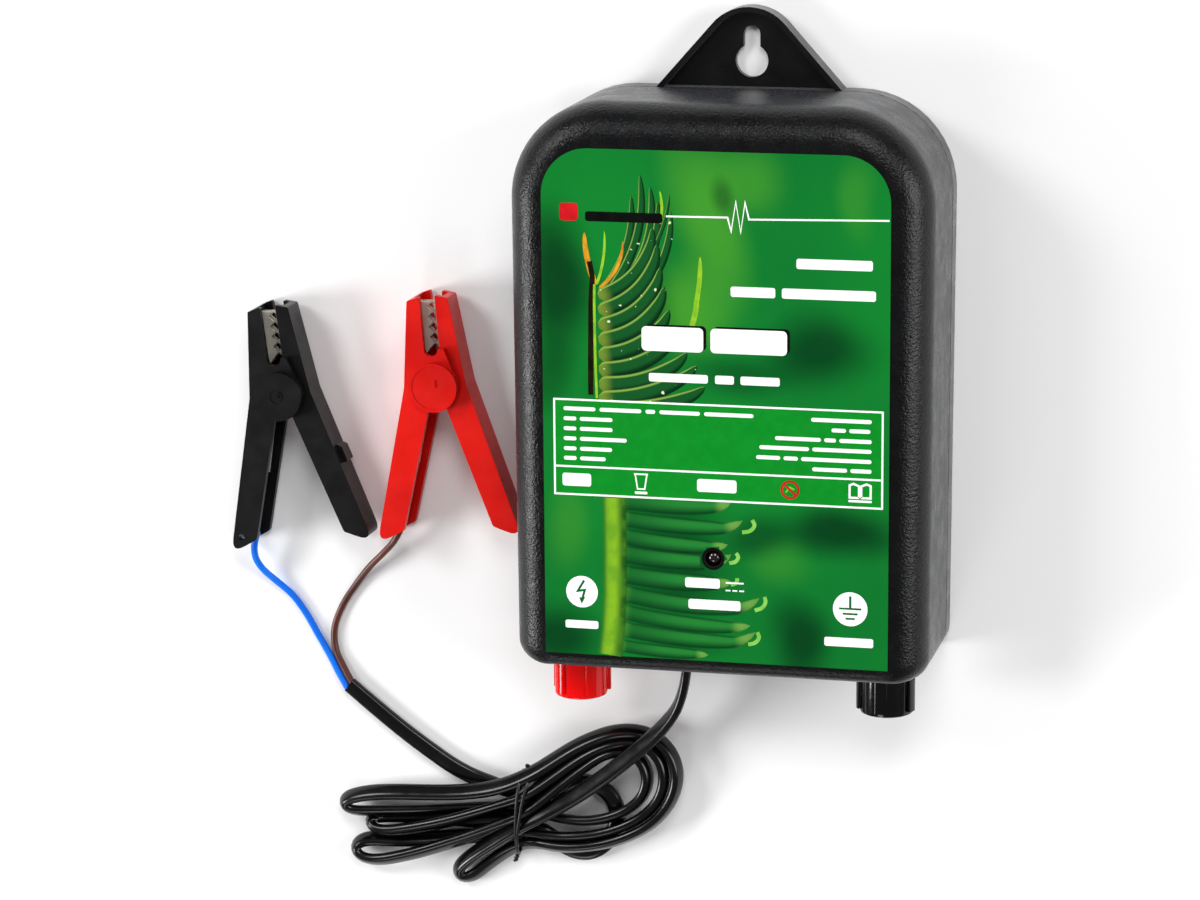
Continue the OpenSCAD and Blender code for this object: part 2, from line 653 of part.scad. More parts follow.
front_shell();
back_cover();
case_seal();
front_label();
case_screws();
circuit_board();
board_screws();
status_led();
led_holder();
transformer_core();
transformer_bobbin();
primary_winding();
secondary_winding();
transformer_strap();
storage_capacitor();
filter_capacitors();
thyristor();
heat_sink();
control_chip();
resistors();
diodes();
fuse();
fuse_clips();
choke_core();
choke_winding();
power_leads();
fence_lead();
earth_lead();
cord_grommet();
fence_collar();
fence_stud();
fence_nut();
fence_tag();
fence_washer();
fence_knob();
earth_collar();
earth_stud();
earth_nut();
earth_tag();
earth_washer();
earth_knob();
cord_feed();
cord_hank();
cord_tie();
cord_lead_out();
blue_wire();
brown_wire();
black_clip_fixed_half();
black_clip_moving_half();
black_clip_rivet();
black_clip_spring();
black_clip_fixed_teeth();
black_clip_moving_teeth();
red_clip_fixed_half();
red_clip_moving_half();
red_clip_rivet();
red_clip_spring();
red_clip_fixed_teeth();
red_clip_moving_teeth();
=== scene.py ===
"""Looks of a battery fence energizer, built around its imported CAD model.

Lengths are in millimetres, and every mesh is scaled to metres when it is made."""

import math

import bmesh
import bpy
import numpy as np
from mathutils import Matrix, Vector


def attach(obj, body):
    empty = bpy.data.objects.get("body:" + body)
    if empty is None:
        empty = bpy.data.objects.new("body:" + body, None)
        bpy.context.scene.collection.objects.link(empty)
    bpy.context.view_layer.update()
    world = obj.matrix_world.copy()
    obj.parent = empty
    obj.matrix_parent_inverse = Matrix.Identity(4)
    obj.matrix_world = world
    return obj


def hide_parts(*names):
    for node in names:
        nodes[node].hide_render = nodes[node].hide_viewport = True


MM = 0.001
UP = Vector((0, 0, 1))

# The case: its middle and ends, half its width at the bottom and the top, its depth and parting line
MID_Y = -4.75
BOTTOM_Y, TOP_Y = MID_Y - 87.5, MID_Y + 87.5
LOW_X, TOP_X, CASE_D, PARTING_Z = 64.3, 65, 51.0, 8.0
LOW_R, TOP_R, FILLET, LOW_FILLET, WALL = 7, 30, 11, 4, 2.2
LED_X, LED_Y = -0.5, -50.3  # from the case's middle, as all of the label is
TERMINAL_X, TERMINAL_Z = 48.7, 25
CORD_X, CORD_Z = -17, 13

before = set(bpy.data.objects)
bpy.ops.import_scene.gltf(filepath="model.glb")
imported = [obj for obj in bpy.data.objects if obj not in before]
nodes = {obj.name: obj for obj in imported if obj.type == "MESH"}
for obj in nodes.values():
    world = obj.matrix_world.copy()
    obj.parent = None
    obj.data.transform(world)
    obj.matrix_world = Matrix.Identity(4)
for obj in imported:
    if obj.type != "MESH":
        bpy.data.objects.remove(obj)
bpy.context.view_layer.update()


# ---------- helpers ----------
def link(obj):
    bpy.context.scene.collection.objects.link(obj)
    return obj


def new_mesh(name, points, faces, indices=None):
    mesh = bpy.data.meshes.new(name)
    mesh.from_pydata([[c * MM for c in p] for p in points], [], faces)
    if indices is not None:
        mesh.polygons.foreach_set("material_index", indices)
    mesh.update()
    return mesh


def shade(mesh, degrees):
    """Smooth shading, with sharp edges above an angle."""
    mesh.polygons.foreach_set("use_smooth", [True] * len(mesh.polygons))
    mesh.set_sharp_from_angle(angle=math.radians(degrees))


def piece(name, mesh, materials, replaces=(), body="root"):
    """A new piece that rides on a body."""
    obj = link(bpy.data.objects.new(name, mesh))
    for m in materials:
        mesh.materials.append(m)
    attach(obj, body)
    if replaces:
        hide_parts(*replaces)
    return obj


def apply_modifiers(obj):
    bpy.context.view_layer.update()
    made = bpy.data.meshes.new_from_object(obj.evaluated_get(bpy.context.evaluated_depsgraph_get()))
    obj.modifiers.clear()
    obj.data = made


def boolean(obj, operation, mesh, place=None):
    """Joins a closed mesh to an object's mesh, or cuts it out."""
    tool = link(bpy.data.objects.new("tool", mesh))
    if place:
        tool.matrix_world = place
    mod = obj.modifiers.new("boolean", "BOOLEAN")
    mod.operation, mod.solver, mod.object = operation, "EXACT", tool
    apply_modifiers(obj)
    bpy.data.objects.remove(tool)


def bevel_edges(obj, width, segments, angle):
    mod = obj.modifiers.new("bevel", "BEVEL")
    mod.width, mod.segments = width * MM, segments
    mod.limit_method, mod.angle_limit = "ANGLE", math.radians(angle)


def weigh_normals(obj):
    obj.modifiers.new("normals", "WEIGHTED_NORMAL").keep_sharp = True


def round_edges(obj, width, segments, angle):
    """Rounds the edges of a piece made here, and shades it smooth between them."""
    bevel_edges(obj, width, segments, angle)
    apply_modifiers(obj)
    shade(obj.data, 40)
    weigh_normals(obj)


def soften(obj, width):
    """Rounded edges by modifiers, which leave the CAD mesh as it is."""
    obj.modifiers.new("weld", "WELD").merge_threshold = 0.000002
    bevel_edges(obj, width, 2, 30)
    weigh_normals(obj)


def unit(v):
    return v / max(np.linalg.norm(v), 1e-12)


def smooth_route(points, step, passes=2):
    """Evenly spaced line through given points; further columns, such as lean, follow along."""
    p = np.array(points, float)
    t = np.concatenate([[0], np.cumsum(np.linalg.norm(np.diff(p[:, :3], axis=0), axis=1))])
    slope = np.gradient(p, t, axis=0)
    out = []
    for i in range(len(p) - 1):
        h = t[i + 1] - t[i]
        u = np.linspace(0, 1, max(int(h / 0.4), 3), endpoint=False)[:, None]
        out.append(
            (2 * u**3 - 3 * u**2 + 1) * p[i]
            + (u**3 - 2 * u**2 + u) * h * slope[i]
            + (3 * u**2 - 2 * u**3) * p[i + 1]
            + (u**3 - u**2) * h * slope[i + 1]
        )
    line = np.concatenate(out + [p[-1:]])
    d = np.concatenate([[0], np.cumsum(np.linalg.norm(np.diff(line[:, :3], axis=0), axis=1))])
    even = np.linspace(0, d[-1], int(d[-1] / step) + 1)
    line = np.stack([np.interp(even, d, line[:, k]) for k in range(p.shape[1])], 1)
    for _ in range(passes):
        line[1:-1] = (line[:-2] + 2 * line[1:-1] + line[2:]) / 4
    return line


def sweep(line, half_w, half_t, sides=20, power=2.0, tilt=None):
    """Tube along a line: power 2 gives a round section and more a squarer one.

    tilt is the lean of its width from flat, in degrees."""
    points, faces = [], []
    n = len(line)
    for i in range(n):
        t = unit(line[min(i + 1, n - 1), :3] - line[max(i - 1, 0), :3])
        side = unit(np.cross([0, 0, 1] if abs(t[2]) < 0.95 else [0, 1, 0], t))
        up = np.cross(t, side)
        a = math.radians(tilt[i]) if tilt is not None else 0
        wide, thick = math.cos(a) * side + math.sin(a) * up, -math.sin(a) * side + math.cos(a) * up
        for k in range(sides):
            c, s = math.cos(2 * math.pi * k / sides), math.sin(2 * math.pi * k / sides)
            x = half_w * math.copysign(abs(c) ** (2 / power), c)
            y = half_t * math.copysign(abs(s) ** (2 / power), s)
            points.append(line[i, :3] + x * wide + y * thick)
        if i:
            for k in range(sides):
                b, c = (i - 1) * sides, i * sides
                j = (k + 1) % sides
                faces.append((b + k, b + j, c + j, c + k))
    faces += [tuple(range(sides))[::-1], tuple(range((n - 1) * sides, n * sides))]
    return points, faces


def arc(cx, cy, r, a0, a1, n):
    angles = [math.radians(a0 + (a1 - a0) * i / n) for i in range(n + 1)]
    return [(cx + r * math.cos(a), cy + r * math.sin(a)) for a in angles]


def circle(x, y, r, n=48):
    return arc(x, y, r, 0, 360, n)[:-1]


def loft(rings, cap_first=True):
    """Closed skin over rings of points, capped at its last ring and mostly at its first."""
    n, last = len(rings[0]), len(rings) - 1
    faces = [
        (k * n + i, k * n + (i + 1) % n, (k + 1) * n + (i + 1) % n, (k + 1) * n + i)
        for k in range(last) for i in range(n)
    ]
    if cap_first:
        faces.append(tuple(range(n))[::-1])
    faces.append(tuple(range(last * n, last * n + n)))
    return [p for ring in rings for p in ring], faces


def prism(outline, z0, z1):
    area = sum(p[0] * q[1] - q[0] * p[1] for p, q in zip(outline, outline[1:] + outline[:1]))
    line = outline if area > 0 else outline[::-1]
    return new_mesh("prism", *loft([[(x, y, z) for x, y in line] for z in (z0, z1)]))


def combine(mesh, parts):
    """A mesh with prisms (operation, outline, z0, z1) joined to it or cut out of it in turn."""
    obj = link(bpy.data.objects.new("combined", mesh))
    for operation, outline, z0, z1 in parts:
        boolean(obj, operation, prism(outline, z0, z1))
    mesh = obj.data
    bpy.data.objects.remove(obj)
    return mesh


def cut_hole(obj, centre, axis, radius, depth):
    """Cuts a round hole through a mesh."""
    r, bm = radius * MM, bmesh.new()
    bmesh.ops.create_cone(bm, cap_ends=True, segments=48, radius1=r, radius2=r, depth=depth * MM)
    mesh = bpy.data.meshes.new("cutter")
    bm.to_mesh(mesh)
    bm.free()
    turn = UP.rotation_difference(Vector(axis)).to_matrix().to_4x4()
    boolean(obj, "DIFFERENCE", mesh, Matrix.Translation(Vector(centre) * MM) @ turn)


# ---------- camera ----------
def make_camera():
    """A long lens, where a least-squares fit to the photo put it."""
    right, up = Vector((0.97147, -0.00797, -0.23702)), Vector((-0.04392, 0.97610, -0.21285))
    right.normalize()
    back = right.cross(up).normalized()
    up = back.cross(right)
    data = bpy.data.cameras.new("camera")
    data.sensor_width, data.lens = 36, 120
    data.clip_start, data.clip_end = 0.05, 50
    cam = link(bpy.data.objects.new("camera", data))
    turn = Matrix((right, up, back)).transposed().to_4x4()
    cam.matrix_world = Matrix.Translation(Vector((247.67, 241.16, 1203.35)) * MM) @ turn
    bpy.context.scene.camera = cam


make_camera()


# ---------- materials ----------
class Shader:
    """A Principled material with helpers for its nodes."""

    def __init__(self, name, **sockets):
        self.mat = bpy.data.materials.new(name)
        self.mat.use_nodes = True
        self.tree = self.mat.node_tree
        self.bsdf = self.tree.nodes["Principled BSDF"]
        for key, value in sockets.items():
            self.put(self.bsdf, key.replace("_", " "), value)
        self.coords = self.node("TexCoord").outputs["Object"]

    def put(self, node, key, value):
        """Sets an input of a node, or links it to the output given as its value."""
        if isinstance(value, bpy.types.NodeSocket):
            self.tree.links.new(value, node.inputs[key])
        else:
            node.inputs[key].default_value = value

    def node(self, kind, inputs=None, **settings):
        made = self.tree.nodes.new("ShaderNode" + kind)
        for key, value in settings.items():
            setattr(made, key, value)
        for key, value in (inputs or {}).items():
            self.put(made, key, value)
        return made

    def noise(self, scale, detail=3.0, roughness=0.5, stretch=None):
        coords = self.coords
        if stretch:
            coords = self.node("Mapping", {"Vector": coords, "Scale": stretch}).outputs["Vector"]
        inputs = {"Scale": scale, "Detail": detail, "Roughness": roughness, "Vector": coords}
        return self.node("TexNoise", inputs).outputs["Fac"]

    def read(self, attribute):
        return self.node("Attribute", attribute_name=attribute).outputs["Fac"]

    def remap(self, value, a, b, lo, hi):
        inputs = {"Value": value, "From Min": a, "From Max": b, "To Min": lo, "To Max": hi}
        return self.node("MapRange", inputs, interpolation_type="SMOOTHSTEP").outputs["Result"]

    def mix(self, fac, a, b):
        a, b = ((*c, 1) if isinstance(c, tuple) else c for c in (a, b))
        return self.node("Mix", {"Factor": fac, 6: a, 7: b}, data_type="RGBA").outputs[2]

    def colour(self, out):
        self.put(self.bsdf, "Base Color", out)

    def fade(self, parts, amount):
        """Soft print edges where amount is 1: each part is 1 where the print has faded out."""
        kept = 1.0
        for part in parts:
            left = self.node("Math", {0: part, 1: -1, 2: 1}, operation="MULTIPLY_ADD").outputs[0]
            kept = self.node("Math", {0: kept, 1: left}, operation="MULTIPLY").outputs[0]
        alpha = self.node("Mix", {"Factor": amount, 2: 1, 3: kept}, data_type="FLOAT").outputs[0]
        self.put(self.bsdf, "Alpha", alpha)

    def rough(self, value, lo, hi):
        self.put(self.bsdf, "Roughness", self.remap(value, 0.3, 0.7, lo, hi))

    def bump(self, height, distance, strength=1.0, chain=None):
        made = self.node("Bump", {"Height": height, "Distance": distance, "Strength": strength})
        if chain is not None:
            self.put(made, "Normal", chain)
        self.put(self.bsdf, "Normal", made.outputs["Normal"])
        return made.outputs["Normal"]


def srgb(text):
    """Linear colour from a hex colour."""
    values = [int(text[i : i + 2], 16) / 255 for i in (0, 2, 4)]
    return tuple(v / 12.92 if v <= 0.04045 else ((v + 0.055) / 1.055) ** 2.4 for v in values)


def plastic(name, colour, dark, rough, grain=2500, depth=0.00002, spread=0.08, specular=0.5, **extra):
    """Moulded plastic: slow colour drift, a fine grain and uneven gloss."""
    s = Shader(name, Roughness=rough, Specular_IOR_Level=specular, **extra)
    s.colour(s.mix(s.remap(s.noise(45, 4), 0.35, 0.65, 0, 1), srgb(dark), srgb(colour)))
    s.rough(s.noise(160, 3), rough - spread / 2, rough + spread / 2)
    fine = s.bump(s.noise(grain, 2, 0.6), depth, 0.6)
    s.bump(s.noise(90, 2), 0.00008, 0.25, fine)
    return s.mat


def metal(name, colour, dark, rough, scale=900, stretch=None, depth=0.00001, shine=1.0):
    """Metal with a slow colour drift and a fine grain, which stretch turns into brush lines."""
    s = Shader(name, Metallic=shine, Roughness=rough)
    s.colour(s.mix(s.remap(s.noise(120, 5, 0.6, stretch), 0.3, 0.7, 0, 1), srgb(dark), srgb(colour)))
    s.rough(s.noise(scale, 3, 0.6, stretch), max(rough - 0.1, 0.05), rough + 0.12)
    s.bump(s.noise(scale, 3, 0.6, stretch), depth, 0.5)
    return s.mat


def wound(name, axis):
    """Enamelled copper wire in close turns of 0.6 mm along an axis."""
    s = Shader(name, Metallic=0.9, Roughness=0.3)
    inputs = {"Scale": 1 / 0.0006 / 3.2, "Distortion": 0.6, "Vector": s.coords}
    wave = s.node("TexWave", inputs, wave_type="BANDS", bands_direction=axis).outputs["Fac"]
    s.colour(s.mix(wave, srgb("7d3f18"), srgb("c8763a")))
    s.rough(s.noise(300), 0.22, 0.42)
    s.bump(wave, 0.0002, 0.9)
    return s.mat


M = {
    "case": plastic("case_plastic", "050608", "030304", 0.3, 1150, 0.00035, 0.1, specular=0.28,
                    Sheen_Weight=0.07, Sheen_Roughness=0.35, Sheen_Tint=(0.86, 0.9, 1, 1)),
    "cover": plastic("cover_plastic", "0b0b0c", "060607", 0.3, 1500, 0.00005, 0.1,
                     specular=0.35, Sheen_Weight=0.15, Sheen_Roughness=0.35),
    "seal": plastic("seal_rubber", "0b0b0c", "070708", 0.75),
    "cord": plastic("cord_sheath", "060606", "020203", 0.22, 1800, 0.00001, 0.1, specular=0.4),
    "tie": plastic("tie_wire", "0c0c0c", "060606", 0.3, 1500, 0.00002),
    "wire_blue": plastic("wire_blue", "007cff", "006cea", 0.34, 1800, 0.00001, specular=0.25),
    "wire_brown": plastic("wire_brown", "6a2f1c", "4c2014", 0.36, 1800, 0.00001),
    "knob_red": plastic("knob_red", "ee0202", "d80101", 0.12, 900, 0.000004, 0.06, specular=0.35),
    "knob_black": plastic("knob_black", "050505", "020202", 0.12, 900, 0.000004, 0.06, specular=0.4),
    "clip_black": plastic("clip_black", "09090a", "050505", 0.38, 1600, 0.00003, specular=0.3),
    "clip_red": plastic("clip_red", "e5150a", "cf0c04", 0.34, 1600, 0.00002, specular=0.3),
    "black": plastic("black_plastic", "161617", "0d0d0e", 0.4),
    "board": plastic("board_laminate", "0f5a35", "0a4527", 0.4, 700, 0.00003),
    "bobbin": plastic("bobbin_plastic", "d8cfb8", "c7bb9d", 0.45),
    "capacitor": plastic("capacitor_case", "2a57a5", "1e4488", 0.35, 1500, 0.00001),
    "sleeve": plastic("capacitor_sleeve", "27303f", "1a212d", 0.3, 1500, 0.00001),
    "resistor": plastic("resistor_body", "cdb688", "b59a66", 0.45, 1500, 0.00001),
    "ferrite": plastic("ferrite", "3c3c3f", "2a2a2c", 0.6, 1200, 0.00005),
    "lead_red": plastic("lead_red", "b81a14", "980f0b", 0.35, 1500, 0.00001),
    "lead_blue": plastic("lead_blue", "1c5ad0", "1447aa", 0.35, 1500, 0.00001),
    "led": plastic("led_lens", "2a0d0d", "150606", 0.12, 1500, 0.000004, Coat_Weight=0.6),
    "glass": plastic("fuse_glass", "cdd8da", "b4c2c5", 0.08, 600, 0.000002, Coat_Weight=0.5),
    "steel": metal("screw_steel", "c3c6c8", "9ea2a6", 0.28),
    "plated": metal("plated_steel", "d0d0cc", "a8a8a2", 0.25),
    "jaw": metal("jaw_metal", "e6dfd3", "c4bbad", 0.4, 700, (1, 0.3, 1), shine=0.4),
    "brass": metal("contact_brass", "cfae62", "a88743", 0.3),
    "sink": metal("heat_sink_metal", "9a9ea2", "7e8286", 0.4, 500, (0.2, 1, 1)),
    "core": metal("core_steel", "6a6d70", "47494c", 0.5, 800, (1, 1, 12), 0.00004),
    "copper_y": wound("copper_primary", "Y"),
    "copper_z": wound("copper_choke", "Z"),
}


# ---------- cords ----------
# x, y, z and lean of the ribbon, from the grommet through the tied turns to where its sheath ends.
# A TURN is a loop at the right of the bundle, and a FOLD is the hairpin at its left.
FEED = [
    (-17, -88.6, 13, 84), (-17, -95, 13, 82), (-17.3, -101, 13, 80), (-18.5, -108, 12.8, 76),
    (-21, -115, 12.6, 66), (-25, -120.5, 12.4, 50), (-29.5, -125.5, 12.3, 36), (-34.5, -130, 12.2, 28),
    (-40, -135, 11.8, 26), (-46, -140, 11.2, 26), (-52.5, -145, 10.4, 28), (-59, -149.5, 9.8, 32),
    (-66, -153.8, 9.4, 36),
]
FOLD_4 = [
    (-72.5, -157.5, 9.2, 40), (-78, -161, 8.6, 42), (-83.5, -165, 7.8, 45), (-89, -169, 6.8, 48),
    (-93.5, -172.8, 5.8, 52), (-96.2, -176.2, 4.9, 56), (-95.6, -179, 4.2, 58), (-92, -178.6, 3.7, 56),
    (-87, -174.6, 3.4, 52), (-81.5, -170.2, 3.4, 50), (-76.5, -167, 3.8, 52),
]
TURN_1 = [
    (-71.5, -165.4, 4.1, 56), (-67.5, -165.4, 4.9, 58), (-62, -165.6, 5.9, 60), (-56, -165.2, 6.6, 62),
    (-49, -164, 6.8, 64), (-42, -161.8, 6.8, 66), (-35.5, -158.8, 6.8, 68), (-29.5, -154.5, 6.8, 70),
    (-25, -149, 6.8, 72), (-22.4, -143, 6.8, 74), (-21.9, -137.5, 6.8, 74), (-23.4, -132.3, 6.8, 72),
    (-26.8, -128, 6.8, 70), (-31.5, -125.4, 6.8, 66), (-37, -124.6, 7, 62), (-43, -125.4, 7.2, 58),
    (-49, -127.6, 7.6, 55), (-55.5, -131, 8.1, 52), (-61.5, -135, 8.6, 50), (-67, -138.8, 9, 48),
]
FOLD_1 = [
    (-72.5, -142, 9.3, 46), (-78, -144.6, 9.1, 46), (-84, -146.6, 8.8, 46), (-91, -148, 8.5, 46),
    (-100, -149, 8.2, 46), (-108.5, -149.5, 8, 46), (-117, -150, 7.8, 46), (-125, -151, 7.4, 48),
    (-131, -152.7, 7, 54), (-134.3, -154.6, 6.3, 62), (-133.8, -157, 6, 66), (-130.5, -157.8, 5.8, 62),
    (-125, -157.7, 5.7, 54), (-116.5, -157.2, 5.4, 48), (-108, -156.7, 4.9, 46), (-98, -155.8, 4.3, 46),
    (-87.5, -154.7, 3.9, 48), (-79, -154, 3.8, 52),
]
TURN_3 = [
    (-72, -154.2, 4.1, 56), (-66, -155.2, 4.8, 60), (-59.5, -156, 5.8, 62), (-51.5, -155.8, 6.7, 64),
    (-44, -154, 6.8, 66), (-37.8, -150.8, 6.8, 70), (-33.4, -146.4, 6.8, 73), (-31.6, -141, 6.8, 75),
    (-32.6, -135.8, 6.8, 74), (-35.8, -132.2, 6.8, 70), (-40.5, -131.2, 7, 65), (-46, -132.6, 7.3, 60),
    (-52, -136.6, 7.8, 55), (-58.5, -141.8, 8.4, 52), (-64.5, -147, 8.9, 52),
]
FOLD_3 = [
    (-70.5, -152, 9.3, 60), (-75.5, -155.4, 9.1, 90), (-81, -158.6, 8.7, 115), (-87, -161.6, 8.3, 128),
    (-93.5, -164.4, 7.9, 132), (-100.5, -167.2, 7.4, 132), (-108, -170, 7, 132), (-116, -172.6, 6.4, 130),
    (-123, -174.2, 5.9, 128), (-128.4, -173.9, 5.4, 122), (-131.2, -171.8, 4.9, 116),
    (-130.6, -169.4, 4.3, 116), (-127.2, -168, 3.7, 120), (-122, -167.8, 3.3, 128), (-115, -167.6, 3, 132),
    (-107, -166.8, 2.9, 132), (-98, -165.6, 2.9, 130), (-89, -164.4, 3.4, 120), (-80, -163.2, 4.4, 90),
]
TURN_2 = [
    (-71.5, -161.5, 5.2, 66), (-66.5, -161.9, 5.9, 62), (-61.5, -162, 6.2, 62), (-55.5, -161.4, 6.8, 63),
    (-49, -160.3, 6.8, 64), (-42.5, -158.2, 6.8, 66), (-36, -155, 6.8, 68), (-30.6, -150.6, 6.8, 71),
    (-27, -145, 6.8, 74), (-26, -139, 6.8, 75), (-27.4, -133.4, 6.8, 74), (-30.9, -129.6, 6.8, 70),
    (-35.8, -127.9, 6.8, 66), (-41.2, -128.3, 7, 62), (-47, -130.2, 7.4, 58), (-53.5, -133.8, 7.9, 54),
    (-60, -138.6, 8.5, 52), (-66, -143.2, 9, 56),
]
FOLD_2 = [
    (-71, -147, 9.3, 72), (-76, -149.8, 9.1, 96), (-82.5, -152.8, 8.7, 118), (-90, -155.8, 8.4, 128),
    (-98, -158.6, 8.1, 132), (-106, -160.9, 7.8, 132), (-113, -162.6, 7.3, 131), (-118.8, -163.7, 6.8, 128),
    (-123.4, -163.6, 6.1, 122), (-126.2, -162, 5, 116), (-125.2, -160.5, 3.6, 122), (-121, -159.6, 2.4, 140),
    (-114, -159.4, 2, 158), (-104, -159.4, 1.9, 168), (-93, -159.5, 1.9, 170), (-82, -159.5, 2, 168),
]
TURN_4 = [
    (-73, -159.9, 2, 168), (-68, -161.8, 1.9, 168), (-63.5, -164.6, 1.8, 170), (-59.3, -167, 1.8, 172),
    (-54.5, -168.2, 1.8, 176), (-49.6, -166.8, 1.8, 178), (-45.4, -162.6, 1.8, 178), (-43, -157.4, 1.8, 178),
    (-43, -152.6, 1.8, 178), (-45, -148.4, 1.8, 176), (-48.6, -145.4, 1.8, 174), (-53, -144.2, 1.8, 172),
    (-57.6, -144.8, 2, 170), (-62, -146.8, 2.4, 165), (-67, -149, 3, 158),
]
LEAD_OUT = [
    (-73, -149.2, 3.4, 160), (-79, -148.2, 3, 168), (-85, -146.6, 2.6, 172), (-92, -144.4, 2.3, 174),
    (-98, -141.5, 2.2, 175), (-105, -137, 2.2, 175), (-115, -130, 2.2, 174), (-124, -123, 2.2, 172),
    (-132.4, -116.2, 2.2, 170),
]
RIBBON_W, RIBBON_T = 5.5, 3.2
SOFT_DEG = 60  # tubes shade smooth up to this angle


def make_cord(tie):
    route = FEED + FOLD_4 + TURN_1 + FOLD_1 + TURN_3 + FOLD_3 + TURN_2 + FOLD_2 + TURN_4 + LEAD_OUT
    line = smooth_route(route, 1.1, 6)
    mesh = new_mesh("power_cord", *sweep(line, RIBBON_W / 2, RIBBON_T / 2, 20, 2.7, line[:, 3]))
    shade(mesh, SOFT_DEG)
    cord = piece("power_cord", mesh, [M["cord"]], ("cord_feed", "cord_hank", "cord_lead_out"))


def make_tie():
    """Two turns of thin wire round the bundle, with a twist of its ends at each side."""
    a = math.radians(-6.7)
    across, along = np.array([math.sin(a), -math.cos(a), 0]), np.array([math.cos(a), math.sin(a), 0])
    centre, up = np.array([-73.4, -154.2, 0]), np.array(UP)
    points, faces = [], []

    def add(line, r):
        p, f = sweep(np.array(line), r, r, 10)
        faces.extend([tuple(i + len(points) for i in face) for face in f])
        points.extend(p)

    def ring(shift, lean, phase):
        out = []
        for k in range(73):
            t = 2 * math.pi * k / 72 + phase
            c, s = math.cos(t), math.sin(t)
            u = 13.6 * math.copysign(abs(c) ** 0.62, c)
            z = 6.55 + 6.0 * math.copysign(abs(s) ** 0.72, s)
            out.append(centre + u * across + (shift + lean * u / 13 + 0.3 * math.sin(3 * t)) * along + z * up)
        return out

    def twist(sign, k):
        u = k / 24
        sway, lift = 0.4 * math.cos(k * 0.9) - 0.3 * sign * u, 0.4 * math.sin(k * 0.9) + 2.4 * u
        return centre + sign * (13.9 + 2.6 * u) * across + sway * along + (5.4 + lift) * up

    add(ring(-0.4, 0.9, 0.3), 0.5)
    add(ring(0.9, -0.6, 2.1), 0.5)
    for sign in (-1, 1):
        add([twist(sign, k) for k in range(25)], 0.45)
    mesh = new_mesh("tie", points, faces)
    shade(mesh, SOFT_DEG)
    return piece("tie", mesh, [M["tie"]], ("cord_tie",))


# The two wires, from where the sheath ends into the clips' handles
WIRE_D = 2.2
BLUE_ROUTE = [
    (-132.9, -117.3, 2.6), (-135.4, -113.5, 2), (-139, -107, 1.3), (-143, -100, 1.3), (-147, -93, 1.3),
    (-151.5, -87, 1.5), (-157, -82, 2.6), (-160.5, -78, 4.5), (-162, -73.5, 6.8), (-161.8, -69.5, 8),
    (-160.6, -65, 8),
]
BROWN_ROUTE = [
    (-131.4, -115.4, 2.6), (-134, -111, 2), (-137, -105, 1.3), (-137.4, -98, 1.3), (-134.5, -90, 1.3),
    (-130, -83, 1.5), (-124.5, -76, 2.8), (-119, -70.5, 5), (-114.8, -66, 7.4), (-112.2, -61.5, 8),
    (-110.6, -57, 8),
]


def make_wire(name, route, finish, replaced):
    line = smooth_route(route, 0.8)
    mesh = new_mesh(name, *sweep(line, WIRE_D / 2, WIRE_D / 2, 16))
    shade(mesh, SOFT_DEG)
    wire = piece(name, mesh, [M[finish]], (replaced,))


# ---------- case ----------
def case_outline(side, low):
    """Outline of the case, inset by side at its sides and top and by low at its bottom."""
    low_r, top_r = max(LOW_R - low, 1), TOP_R - side
    low_x, low_y = LOW_X - side - low_r, BOTTOM_Y + low + low_r
    top_x, top_y = TOP_X - TOP_R, TOP_Y - TOP_R
    return (
        arc(low_x, low_y, low_r, -90, 0, 10) + arc(top_x, top_y, top_r, 0, 90, 20)
        + arc(-top_x, top_y, top_r, 90, 180, 20) + arc(-low_x, low_y, low_r, 180, 270, 10)
    )


def make_front_shell():
    """Shell with a big rounded front edge, a smaller one along the bottom, and its round holes."""
    outer_rings = [[(x, y, z) for x, y in case_outline(inset, inset)]
                   for inset, z in ((0.25, PARTING_Z), (0, PARTING_Z + 0.3))]
    for k in range(15):
        a = math.radians(90 * k / 14)
        z = CASE_D - FILLET + FILLET * math.sin(a)
        up = max(z - (CASE_D - LOW_FILLET), 0)
        low = LOW_FILLET - math.sqrt(max(LOW_FILLET**2 - up * up, 0))
        outer_rings.append([(x, y, z) for x, y in case_outline(FILLET - FILLET * math.cos(a), low)])
    outer_rings.append([(x * 0.985, MID_Y + (y - MID_Y) * 0.985, CASE_D) for x, y, _ in outer_rings[-1]])
    inner_rings = [[(x, y, PARTING_Z) for x, y in case_outline(WALL, WALL)]]
    inner_r = FILLET - WALL
    for k in range(7):
        a = math.radians(90 * k / 6)
        z, inset = CASE_D - FILLET + inner_r * math.sin(a), FILLET - inner_r * math.cos(a)
        inner_rings.append([(x, y, z) for x, y in case_outline(inset, WALL + 0.2 * k)])
    (points, faces), (inner, inner_faces) = loft(outer_rings, False), loft(inner_rings, False)
    n, shift = len(outer_rings[0]), len(points)
    faces += [tuple(i + shift for i in f)[::-1] for f in inner_faces]
    faces += [((i + 1) % n, i, shift + i, shift + (i + 1) % n) for i in range(n)]
    mesh = new_mesh("case_front", points + inner, faces)
    shell = piece("case_front", mesh, [M["case"]], ("front_shell",))
    for x, z, r in ((-TERMINAL_X, TERMINAL_Z, 5.05), (TERMINAL_X, TERMINAL_Z, 5.05), (CORD_X, CORD_Z, 4.05)):
        cut_hole(shell, (x, BOTTOM_Y + 1, z), (0, 1, 0), r, 6)
    cut_hole(shell, (LED_X, MID_Y + LED_Y, CASE_D), UP, 3.8, 8)
    shade(shell.data, 32)
    weigh_normals(shell)


make_front_shell()


# ---------- label ----------
LABEL_Z = CASE_D + 0.3


